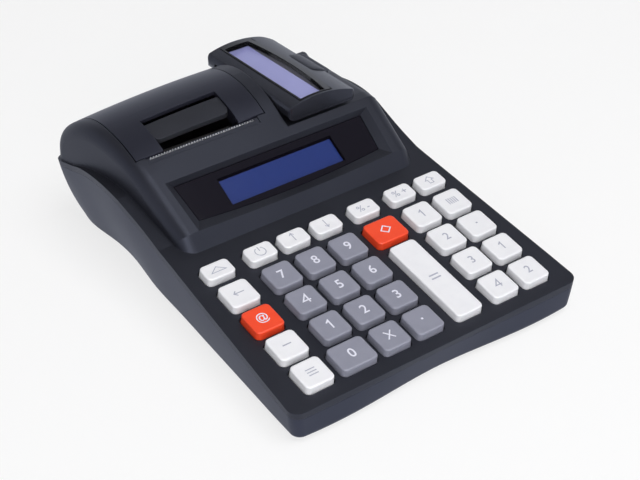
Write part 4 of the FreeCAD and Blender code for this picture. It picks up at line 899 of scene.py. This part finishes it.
SIGNS: dict[str, Sign] = {
    "up": Sign(strokes=ARROW_UP),
    "down": Sign(strokes=ARROW_DOWN),
    "power": Sign(strokes=POWER, lift=-0.1 * MM),
    "feed": Sign(strokes=TRIANGLE, lift=0.2 * MM),
    "shift": Sign(strokes=SHIFT, lift=0.1 * MM),
    "1": Sign(strokes=ONE, line=0.75 * MM),
    "4": Sign(strokes=FOUR, line=0.7 * MM),
    "multiply": Sign(strokes=CROSS, line=0.62 * MM),
    "point": Sign(strokes=DOT, line=1.0 * MM, lift=0.6 * MM),
    "function": Sign(strokes=DOT, line=0.8 * MM),
    "clear": Sign(strokes=ARROW_LEFT, line=0.5 * MM),
    "price": Sign("@", 4.4 * MM, weight=0.05 * MM),
    "void": Sign(strokes=MINUS, line=0.6 * MM),
    "lookup": Sign(strokes=STEPS, line=0.5 * MM),
    "code": Sign(strokes=BARS, line=0.5 * MM),
    "subtotal": Sign(strokes=DIAMOND, line=0.6 * MM),
    "total": Sign(strokes=EQUALS, line=0.8 * MM),
    "minus_percent": Sign("% -", 3.9 * MM, 0.2 * MM, weight=0.03 * MM),
    "plus_percent": Sign("% +", 3.9 * MM, 0.2 * MM, weight=0.03 * MM),
}


@dataclass
class Keypad:
    """The thirty-three keys on the sloping deck, and what lies below them."""

    pitch_x: float = 18.5 * MM
    pitch_y: float = 18.3 * MM
    digit_column_x: float = -37.9 * MM
    function_step: float = 23.1 * MM
    total_step: float = 22.0 * MM
    department_step: float = 21.9 * MM
    bottom_row_up: float = 14.6 * MM
    top_row_step: float = 17.4 * MM
    width: float = 15.3 * MM
    small_depth: float = 10.4 * MM
    wide_width: float = 19.3 * MM
    subtotal_width: float = 18.3 * MM
    height: float = 3.6 * MM
    corner: float = 2.4 * MM
    crown_radius: float = 0.75 * MM
    crown_steps: int = 5
    dish_rings: tuple[float, ...] = (0.93, 0.82, 0.62, 0.36, 0.12)
    taper: float = 3.4
    dish: float = 0.1 * MM
    under: float = 2.5 * MM
    flange_lip: float = 0.9 * MM
    flange_thickness: float = 0.9 * MM
    plunger_radius: float = 2.6 * MM
    plunger_length: float = 0.9 * MM
    ink: float = 0.07 * MM
    small_sign: float = 0.88
    small_line: float = 0.6 * MM
    small_weight: float = 0.05 * MM
    deck_front: Vector = field(default_factory=lambda: Vector((0.0, -105.0, 17.2)) * MM)
    deck_angle: float = 8.88
    names: tuple[tuple[str | None, ...], ...] = (
        ("lookup", "0", "multiply", "point", None, "department_4", "payment_2"),
        ("void", "1", "2", "3", None, "department_3", "payment_1"),
        ("price", "4", "5", "6", None, "department_2", "function"),
        ("clear", "7", "8", "9", "subtotal", "department_1", "code"),
        ("feed", "power", "up", "down", "minus_percent", "plus_percent", "shift"),
    )

    def columns(self) -> list[float]:
        """Side offsets of the seven key columns."""
        digits = [self.digit_column_x + self.pitch_x * step for step in range(3)]
        total = digits[2] + self.total_step
        department = total + self.department_step
        return [digits[0] - self.function_step, *digits, total, department,
                department + self.pitch_x]

    def rows(self) -> list[float]:
        """Distances of the five key rows up the deck."""
        rows = [self.bottom_row_up + self.pitch_y * step for step in range(4)]
        return [*rows, rows[3] + self.top_row_step]

    def sign(self, name: str) -> Sign:
        """What is printed on a key.

        Args:
            name: The key's name.

        Returns:
            A plain number or sign.
        """
        if name in SIGNS:
            return SIGNS[name]
        last = name[-1]
        if name.startswith(("department", "payment")):
            share = self.small_sign
            if last in SIGNS:
                return Sign(strokes=scaled(SIGNS[last].strokes, share), line=self.small_line)
            return Sign(last, DIGIT_HEIGHT * share, weight=self.small_weight)
        return Sign(last)

    def cap_finish(self, name: str) -> tuple[Finish, Finish]:
        """The plastic and the ink of a key."""
        if name.isdigit() or name in ("multiply", "point"):
            return Finish.KEY_GREY, Finish.INK_PALE
        if name in ("price", "subtotal"):
            return Finish.KEY_RED, Finish.INK_PALE
        return Finish.KEY_WHITE, Finish.INK_GREY

    def rim_inset(self) -> float:
        """How far the flat of a crown lies inside the cap's foot."""
        lean = math.tan(math.radians(self.taper))
        return (self.height - self.crown_radius + self.under) * lean + self.crown_radius

    def top_height(self, x: float, y: float, half_width: float, half_depth: float) -> float:
        """Height of the dished crown above the deck at a point of it."""
        rim = self.rim_inset()
        inset = min(half_width - rim - abs(x), half_depth - rim - abs(y))
        reach = min(half_width, half_depth) - rim
        share = 1 - min(max(inset / reach, 0.0), 1.0)
        return self.height - self.dish * (1 - share ** 2)

    def cap_loops(self, half_width: float, half_depth: float) -> list[list[Vector]]:
        """The rings of a cap, from its plunger up over the crown.

        Args:
            half_width: Half the cap's size across at the deck's underside.
            half_depth: Half its size up the deck.

        Returns:
            Rings of points in the deck's own frame.
        """
        loops = []
        flange_low = -self.under - self.flange_thickness
        plunger = rounded_outline(self.plunger_radius, self.plunger_radius, self.plunger_radius)
        for rise in (flange_low - self.plunger_length, flange_low):
            loops.append([Vector((x, y, rise)) for x, y in plunger])
        lip = self.flange_lip
        for rise in (flange_low, -self.under):
            ring = rounded_outline(half_width + lip, half_depth + lip, lip)
            loops.append([Vector((x, y, rise)) for x, y in ring])
        lean = math.tan(math.radians(self.taper))
        shoulder = self.height - self.crown_radius
        for rise in (-self.under, 0.0, shoulder * 0.5, shoulder):
            inset = (rise + self.under) * lean
            ring = rounded_outline(half_width - inset, half_depth - inset, self.corner)
            loops.append([Vector((x, y, rise)) for x, y in ring])
        start = (shoulder + self.under) * lean
        for step in range(1, self.crown_steps + 1):
            angle = math.pi / 2 * step / self.crown_steps
            inset = start + self.crown_radius * (1 - math.cos(angle))
            rise = shoulder + self.crown_radius * math.sin(angle)
            ring = rounded_outline(half_width - inset, half_depth - inset,
                                   self.corner - inset * 0.5)
            loops.append([Vector((x, y, rise)) for x, y in ring])
        rim_width = half_width - start - self.crown_radius
        rim_depth = half_depth - start - self.crown_radius
        for share in self.dish_rings:
            shrink = min(rim_width, rim_depth) * (1 - share)
            ring = rounded_outline(rim_width - shrink, rim_depth - shrink,
                                   max(self.corner - start - self.crown_radius, 0.0) * share)
            loops.append([Vector((x, y, self.top_height(x, y, half_width, half_depth)))
                          for x, y in ring])
        return loops

    def make_key(self, name: str, x: float, up: float, half_width: float,
                 half_depth: float) -> None:
        """Build one key with its printed sign.

        Args:
            name: The key's name, without its prefix.
            x: Its place across the deck.
            up: Its place up the deck.
            half_width: Half its size across.
            half_depth: Half its size up the deck.
        """
        node = "key_" + name
        deck = Matrix.Translation(self.deck_front) @ Matrix.Rotation(
            math.radians(self.deck_angle), 4, "X")
        maker = PieceMaker("cap_" + name, deck @ Matrix.Translation((x, up, 0)))
        plastic, ink = self.cap_finish(name)
        maker.loft(self.cap_loops(half_width, half_depth), plastic)
        sign = self.sign(name)

        def on_crown(point: Vector) -> Vector:
            """Lay a point of the sign on the crown."""
            y = point.y + sign.lift
            rise = self.top_height(point.x, y, half_width, half_depth)
            return Vector((point.x, y, rise + point.z))

        if sign.text:
            letters = text_mesh(sign.text, sign.height, self.ink, sign.weight)
            maker.take_mesh(letters, ink, on_crown)
        for points, closed in sign.strokes:
            for quad in stroke_outline(points, sign.line, closed):
                loops = [[on_crown(Vector((*corner, side * self.ink / 2))) for corner in quad]
                         for side in (-1, 1)]
                maker.loft(loops, ink)
        maker.finish(frame["nodes"][node]["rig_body"], plastic.value.name, [node])

    def build(self) -> None:
        """Build every key."""
        half = self.width / 2
        for row, (up, names) in enumerate(zip(self.rows(), self.names)):
            for x, name in zip(self.columns(), names):
                if name is None:
                    continue
                half_width = half
                half_depth = self.small_depth / 2 if row == 4 else half
                if name == "subtotal":
                    half_width = self.subtotal_width / 2
                if name == "0":
                    half_width = self.wide_width / 2
                    x -= half_width - half
                self.make_key(name, x, up, half_width, half_depth)
        self.make_key("total", self.columns()[4], self.rows()[1], half, half + self.pitch_y)


# Displays

@dataclass
class OperatorDisplay:
    """The smoked window on the sloping face and the blue panel behind it."""

    chin: Vector = field(default_factory=lambda: Vector((0.0, 2.3, 40.495)) * MM)
    face_angle: float = 29.0
    bottom_up: float = 5.7 * MM
    top_up: float = 26.2 * MM
    bottom_half_width: float = 52.3 * MM
    top_half_width: float = 54.4 * MM
    bow: float = 2.4 * MM
    depth: float = 2.7 * MM
    thickness: float = 1.6 * MM
    gap: float = 0.12 * MM
    bevel: float = 0.3 * MM
    panel_up: float = 14.45 * MM
    panel_width: float = 65.0 * MM
    panel_height: float = 14.2 * MM
    panel_top: float = -4.42 * MM
    panel_thickness: float = 1.9 * MM
    view_margin: float = 0.3 * MM

    def face(self) -> Matrix:
        """The face's own frame, from the chin up."""
        turn = Matrix.Rotation(math.radians(self.face_angle), 4, "X")
        return Matrix.Translation(self.chin) @ turn

    def outline(self) -> list[Point2]:
        """The window's outline, its lower side bowed."""
        low = self.bottom_up + self.gap
        half = self.bottom_half_width - self.gap
        steps = 12
        lower = []
        for step in range(steps + 1):
            share = 2 * step / steps - 1
            lower.append((half * share, low - self.bow * (1 - share * share)))
        top = self.top_half_width - self.gap
        return [*lower, (top, self.top_up - self.gap), (-top, self.top_up - self.gap)]

    def build(self) -> None:
        """Build the window and the panel."""
        window = PieceMaker("smoked_window", self.face())
        low = -self.depth - self.thickness
        window.prism(self.outline(), low, -self.depth, Finish.LEVER, self.bevel)
        piece = window.finish("case", "smoked_window", ["display_window"])
        view = (self.panel_width / 2 + self.view_margin,
                self.panel_height / 2 + self.view_margin)
        glass = WindowGlass("smoked_acrylic", (0.006, 0.005, 0.010), clear=0.12,
                            roughness=0.09, scratches=0.06, specular=0.3,
                            middle=(0.0, self.panel_place().y), half_view=view,
                            rise_share=math.cos(math.radians(self.face_angle)))
        piece.data.materials[0] = glass.make()
        panel = PieceMaker("blue_panel", self.face())
        half = self.panel_width / 2
        low = self.panel_up - self.panel_height / 2
        high = self.panel_up + self.panel_height / 2
        panel.prism(rectangle(-half, half, low, high), self.panel_top - self.panel_thickness,
                    self.panel_top, Finish.LCD_BLUE)
        panel.finish("case", "lcd_blue")

    def panel_place(self) -> Vector:
        """Where the panel's middle shows on the window."""
        return self.face() @ Vector((0.0, self.panel_up, -self.depth))


def circle_through(first: Point2, second: Point2, third: Point2) -> tuple[Vector, float]:
    """The circle through three points.

    Args:
        first: A point on it.
        second: Another.
        third: Another.

    Returns:
        Its middle and its radius.
    """
    rows = []
    for point in (second, third):
        rows.append((point[0] - first[0], point[1] - first[1],
                     (point[0] ** 2 + point[1] ** 2 - first[0] ** 2 - first[1] ** 2) / 2))
    (a, b, c), (d, e, f) = rows
    spread = a * e - b * d
    middle = Vector(((c * e - b * f) / spread, (a * f - c * d) / spread))
    return middle, (middle - Vector(first)).length


@dataclass
class CustomerDisplay:
    """The raised display that customers read, its own axes at its front end."""

    body: str = "customer_display"
    front: Vector = field(default_factory=lambda: Vector((0.0, 31.2, 62.2)) * MM)
    pitch: float = 2.0
    roll_end: Point2 = (17.232 * MM, 3.759 * MM)
    crown: Point2 = (33.0 * MM, 5.8 * MM)
    edge_top: Point2 = (54.0 * MM, 1.4 * MM)
    panel_left: float = 23.7 * MM
    panel_right: float = 37.9 * MM
    panel_front: float = 2.5 * MM
    panel_rear: float = 68.9 * MM
    panel_top: float = 3.0 * MM
    panel_low: float = 2.8 * MM
    surround_low: float = 2.7 * MM
    surround_top: float = 2.94 * MM
    surround_right: float = 41.6 * MM
    lens_left: float = 22.6 * MM
    lens_right: float = 41.1 * MM
    lens_front: float = 1.7 * MM
    lens_rear: float = 71.7 * MM
    lens_proud: float = 0.3 * MM
    band_bow: float = 3.0 * MM
    view_margin: float = 0.2 * MM
    lens_low: float = 3.1 * MM
    grip_front: float = 24.4 * MM
    grip_rear: float = 47.2 * MM
    grip_left: float = 46.6 * MM
    grip_right: float = 57.5 * MM
    grip_height: float = 1.0 * MM
    grip_sink: float = 0.1 * MM
    grip_depth: float = 0.9 * MM
    grip_end_draw: float = 3 * MM
    grip_slope: float = 0.6
    grip_swell: float = 0.6

    def place(self) -> Matrix:
        """The display's own axes in the register."""
        return Matrix.Translation(self.front) @ Matrix.Rotation(-math.radians(self.pitch), 4, "X")

    def crown_height(self, x: float) -> float:
        """Height of the crowned shell at a side offset."""
        middle, radius = circle_through(self.roll_end, self.crown, self.edge_top)
        return middle.y + math.sqrt(radius ** 2 - (x - middle.x) ** 2)

    def bowed(self, x: float, y: float) -> float:
        """How far right an edge lies that bows out between the panel's ends."""
        middle = (self.panel_front + self.panel_rear) / 2
        half = (self.panel_rear - self.panel_front) / 2
        return x + self.band_bow * max(1 - ((y - middle) / half) ** 2, 0.0)

    def build(self) -> None:
        """Build the panel, its surround, the lens and the finger grip."""
        self.build_panel()
        self.build_lens()
        self.build_grip()

    def build_panel(self) -> None:
        """The lavender panel and the grey surround at its right."""
        surround = PieceMaker("panel_surround", self.place())
        outline = rectangle(self.lens_left, self.surround_right, self.lens_front, self.lens_rear)
        surround.prism(outline, self.surround_low, self.surround_top, Finish.LCD_SURROUND)
        surround.finish(self.body, "lcd_pale")
        panel = PieceMaker("customer_panel", self.place())
        outline = rectangle(self.panel_left, self.panel_right, self.panel_front, self.panel_rear)
        panel.prism(outline, self.panel_low, self.panel_top, Finish.LCD_PALE)
        panel.finish(self.body, "lcd_pale")

    def build_lens(self) -> None:
        """The crowned lens, whose right edge bows out over the shell."""

        def profile(along: float, aside: float) -> tuple[Vector, Vector]:
            """The lens's top and underside at a point of it."""
            y = self.lens_front + (self.lens_rear - self.lens_front) * along
            x = self.lens_left + (self.bowed(self.lens_right, y) - self.lens_left) * aside
            top = self.crown_height(x) + self.lens_proud
            floor = self.lens_low if x < self.surround_right else top - 2 * self.lens_proud
            return Vector((x, y, top)), Vector((x, y, floor))

        lens = PieceMaker("customer_lens", self.place())
        lens.loft(swept_loops(28, 14, profile), Finish.LEVER)
        piece = lens.finish(self.body, "clear_window", ["customer_display_window"])
        # the lens is black outside the view; its band right of the bowed view is painted shade
        start = self.front.y
        glass = ArchedGlass("arched_lens", (0.007, 0.007, 0.009), clear=0.06,
                            roughness=0.16, scratches=0.08, specular=0.45,
                            left_x=self.panel_left - self.view_margin,
                            right_x=self.panel_right, bow=self.band_bow,
                            front_y=start + self.panel_front,
                            rear_y=start + self.panel_rear)
        piece.data.materials[0] = glass.make()

    def build_grip(self) -> None:
        """The raised pad on the finger tab; its darker tone is painted shade."""
        edge = self.edge_top[0]

        def profile(along: float, aside: float) -> tuple[Vector, Vector]:
            """The pad's top and underside at a point of it."""
            y = self.grip_front + (self.grip_rear - self.grip_front) * along
            fullness = math.sqrt(max(1 - (2 * along - 1) ** 8, 0.0))
            right = edge + (self.grip_right - edge) * fullness
            left = self.grip_left + (1 - fullness) * self.grip_end_draw
            x = left + (right - left) * aside
            base = self.crown_height(min(x, edge)) - max(x - edge, 0.0) * self.grip_slope
            swell = math.sin(math.pi * aside) ** self.grip_swell * fullness
            top = base - self.grip_sink + self.grip_height * swell
            return Vector((x, y, top)), Vector((x, y, base - self.grip_depth))

        grip = PieceMaker("finger_grip", self.place())
        grip.loft(swept_loops(30, 12, profile), Finish.GRIP)
        grip.finish(self.body, "display_shell")


# Carried-over pieces

NODE_FINISHES: dict[str, Finish] = {
    "bottom_case": Finish.CASE_LOWER,
    "top_case": Finish.CASE_UPPER,
    "case_screws": Finish.METAL_SCREW,
    "rubber_feet": Finish.FOOT_RUBBER,
    "battery_door": Finish.CASE_LOWER,
    "battery_pack": Finish.WRAP,
    "main_board": Finish.BOARD,
    "key_board": Finish.BOARD,
    "keypad_mat": Finish.MAT_RUBBER,
    "operator_lcd": Finish.FRAME,
    "printer_frame": Finish.FRAME,
    "print_head": Finish.METAL_HEAD,
    "printer_motor": Finish.METAL_MOTOR,
    "drive_gear": Finish.GEAR,
    "platen_roller": Finish.PLATEN_RUBBER,
    "platen_gear": Finish.GEAR,
    "tear_bar": Finish.METAL_TEAR,
    "printer_cover": Finish.COVER,
    "cover_hinge_pin": Finish.METAL_PIN,
    "cover_lever": Finish.LEVER,
    "customer_display_bezel": Finish.DISPLAY_SHELL,
    "customer_display_base": Finish.DISPLAY_SHELL,
    "customer_display_lcd": Finish.LCD_PALE,
    "customer_display_window": Finish.LCD_PALE,
    "customer_display_pin": Finish.METAL_PIN,
    "dc_jack": Finish.JACK,
}


def dress_nodes() -> None:
    """Give each carried-over piece its finish."""
    for name, finish in NODE_FINISHES.items():
        node = frame["nodes"][name]
        node.data.materials.clear()
        node.data.materials.append(finish.material())
        LOG.info("%s: %s", name, finish.name)


# Studio

@dataclass
class Studio:
    """Floor, lights and the camera."""

    camera_place: Vector = field(default_factory=lambda: Vector((-357.2, -498.7, 447.6)) * MM)
    look: Vector = field(default_factory=lambda: Vector((0.484, 0.657, -0.578)))
    across: Vector = field(default_factory=lambda: Vector((0.805, -0.593, 0.0)))
    lens: float = 87.99
    sensor: float = 36.0
    floor_size: float = 6.0
    screen_height: float = 3.3
    fade_from: float = 0.35
    own_light: float = 0.75
    sky: float = 0.22
    paper_tone: Colour = (0.9, 0.9, 0.91)
    white: Colour = (1.0, 1.0, 1.0)
    cool_white: Colour = (0.84, 0.88, 1.0)

    def build(self) -> None:
        """Set up everything round the register."""
        self.make_camera()
        self.make_floor()
        self.make_world()
        self.make_lamp("key_panel", Vector((0.1, -0.5, 1.2)), 0.9, 11.0)
        self.make_lamp("front_panel", Vector((-0.75, -1.1, 0.45)), 0.8, 9.0)
        bpy.context.scene.view_settings.view_transform = "Standard"

    def make_camera(self) -> None:
        """The camera at the photograph's angle."""
        data = bpy.data.cameras.new("camera")
        data.lens = self.lens
        data.sensor_width = self.sensor
        data.sensor_fit = "HORIZONTAL"
        data.clip_start = 0.01
        camera = bpy.data.objects.new("camera", data)
        forward = self.look.normalized()
        right = self.across.normalized()
        up = right.cross(forward).normalized()
        camera.matrix_world = Matrix((
            (right.x, up.x, -forward.x, self.camera_place.x),
            (right.y, up.y, -forward.y, self.camera_place.y),
            (right.z, up.z, -forward.z, self.camera_place.z),
            (0, 0, 0, 1)))
        bpy.context.scene.collection.objects.link(camera)
        bpy.context.scene.camera = camera

    def make_floor(self) -> None:
        """A wide white floor that keeps the register's shadow, and a round screen behind."""
        half = self.floor_size / 2
        floor = bpy.data.meshes.new("floor")
        corners = [(x, y, 0.0) for x, y in rectangle(-half, half, -half, half)]
        floor.from_pydata(corners, [], [(0, 1, 2, 3)])
        floor.materials.append(self.paper("floor_paper", 0.0))
        screen = bpy.data.meshes.new("screen")
        ring = arc_points(half, 0, 360, 48)
        count = len(ring)
        points = [(x, y, z) for z in (0.0, self.screen_height) for x, y in ring]
        screen.from_pydata(points, [], [(here, here + 1, count + here + 1, count + here)
                                        for here in range(count - 1)])
        screen.materials.append(self.paper("screen_paper", self.screen_height))
        for mesh in (floor, screen):
            stage = bpy.data.objects.new(mesh.name, mesh)
            bpy.context.scene.collection.objects.link(stage)

    def paper(self, name: str, fade: float) -> bpy.types.Material:
        """White paper that is even where the camera sees it, and lit where it isn't.

        Args:
            name: The material's name.
            fade: The height at which its own light has faded out, or 0 where it doesn't fade.

        Returns:
            The finished material.
        """
        graph = Graph(name)
        seen = graph.node("ShaderNodeLightPath")
        camera = Signal(graph, seen.outputs["Is Camera Ray"])
        glossy = Signal(graph, seen.outputs["Is Glossy Ray"])
        through = Signal(graph, seen.outputs["Is Transmission Ray"])
        share: Source = camera.most(glossy).most(through) * self.own_light
        if fade:
            share = share * (1 - graph.axis("Z").step(self.fade_from * fade, fade))
        paper = graph.node("ShaderNodeBsdfDiffuse", None, {"Color": self.paper_tone})
        cool = graph.mix(glossy, self.white, self.cool_white)
        white = graph.node("ShaderNodeEmission", None, {"Color": cool})
        mixed = graph.node("ShaderNodeMixShader", None,
                           {0: share, 1: Signal(graph, paper.outputs[0]),
                            2: Signal(graph, white.outputs[0])})
        graph.node("ShaderNodeOutputMaterial", None,
                   {"Surface": Signal(graph, mixed.outputs[0])})
        return graph.material

    def make_world(self) -> None:
        """Soft even light from all round."""
        world = bpy.data.worlds.new("studio")
        bpy.context.scene.world = world
        world.use_nodes = True
        tree = world.node_tree
        background = tree.nodes["Background"]
        background.inputs["Color"].default_value = (1.0, 1.0, 1.0, 1.0)
        background.inputs["Strength"].default_value = self.sky

    def make_lamp(self, name: str, place: Vector, size: float, power: float) -> None:
        """Hang one soft square lamp that faces the register.

        Args:
            name: The lamp's name.
            place: Where it hangs.
            size: Length of its side.
            power: Its power in watts.
        """
        data = bpy.data.lights.new(name, "AREA")
        data.size = size
        data.energy = power
        lamp = bpy.data.objects.new(name, data)
        lamp.location = place
        lamp.rotation_euler = place.to_track_quat("Z", "Y").to_euler()
        bpy.context.scene.collection.objects.link(lamp)


def main() -> None:
    """Build every sub-assembly, then the studio round it."""
    logging.basicConfig(level=logging.INFO, format="%(name)s: %(message)s")
    dress_nodes()
    Keypad().build()
    OperatorDisplay().build()
    CustomerDisplay().build()
    Studio().build()


if __name__ == "__main__":
    main()
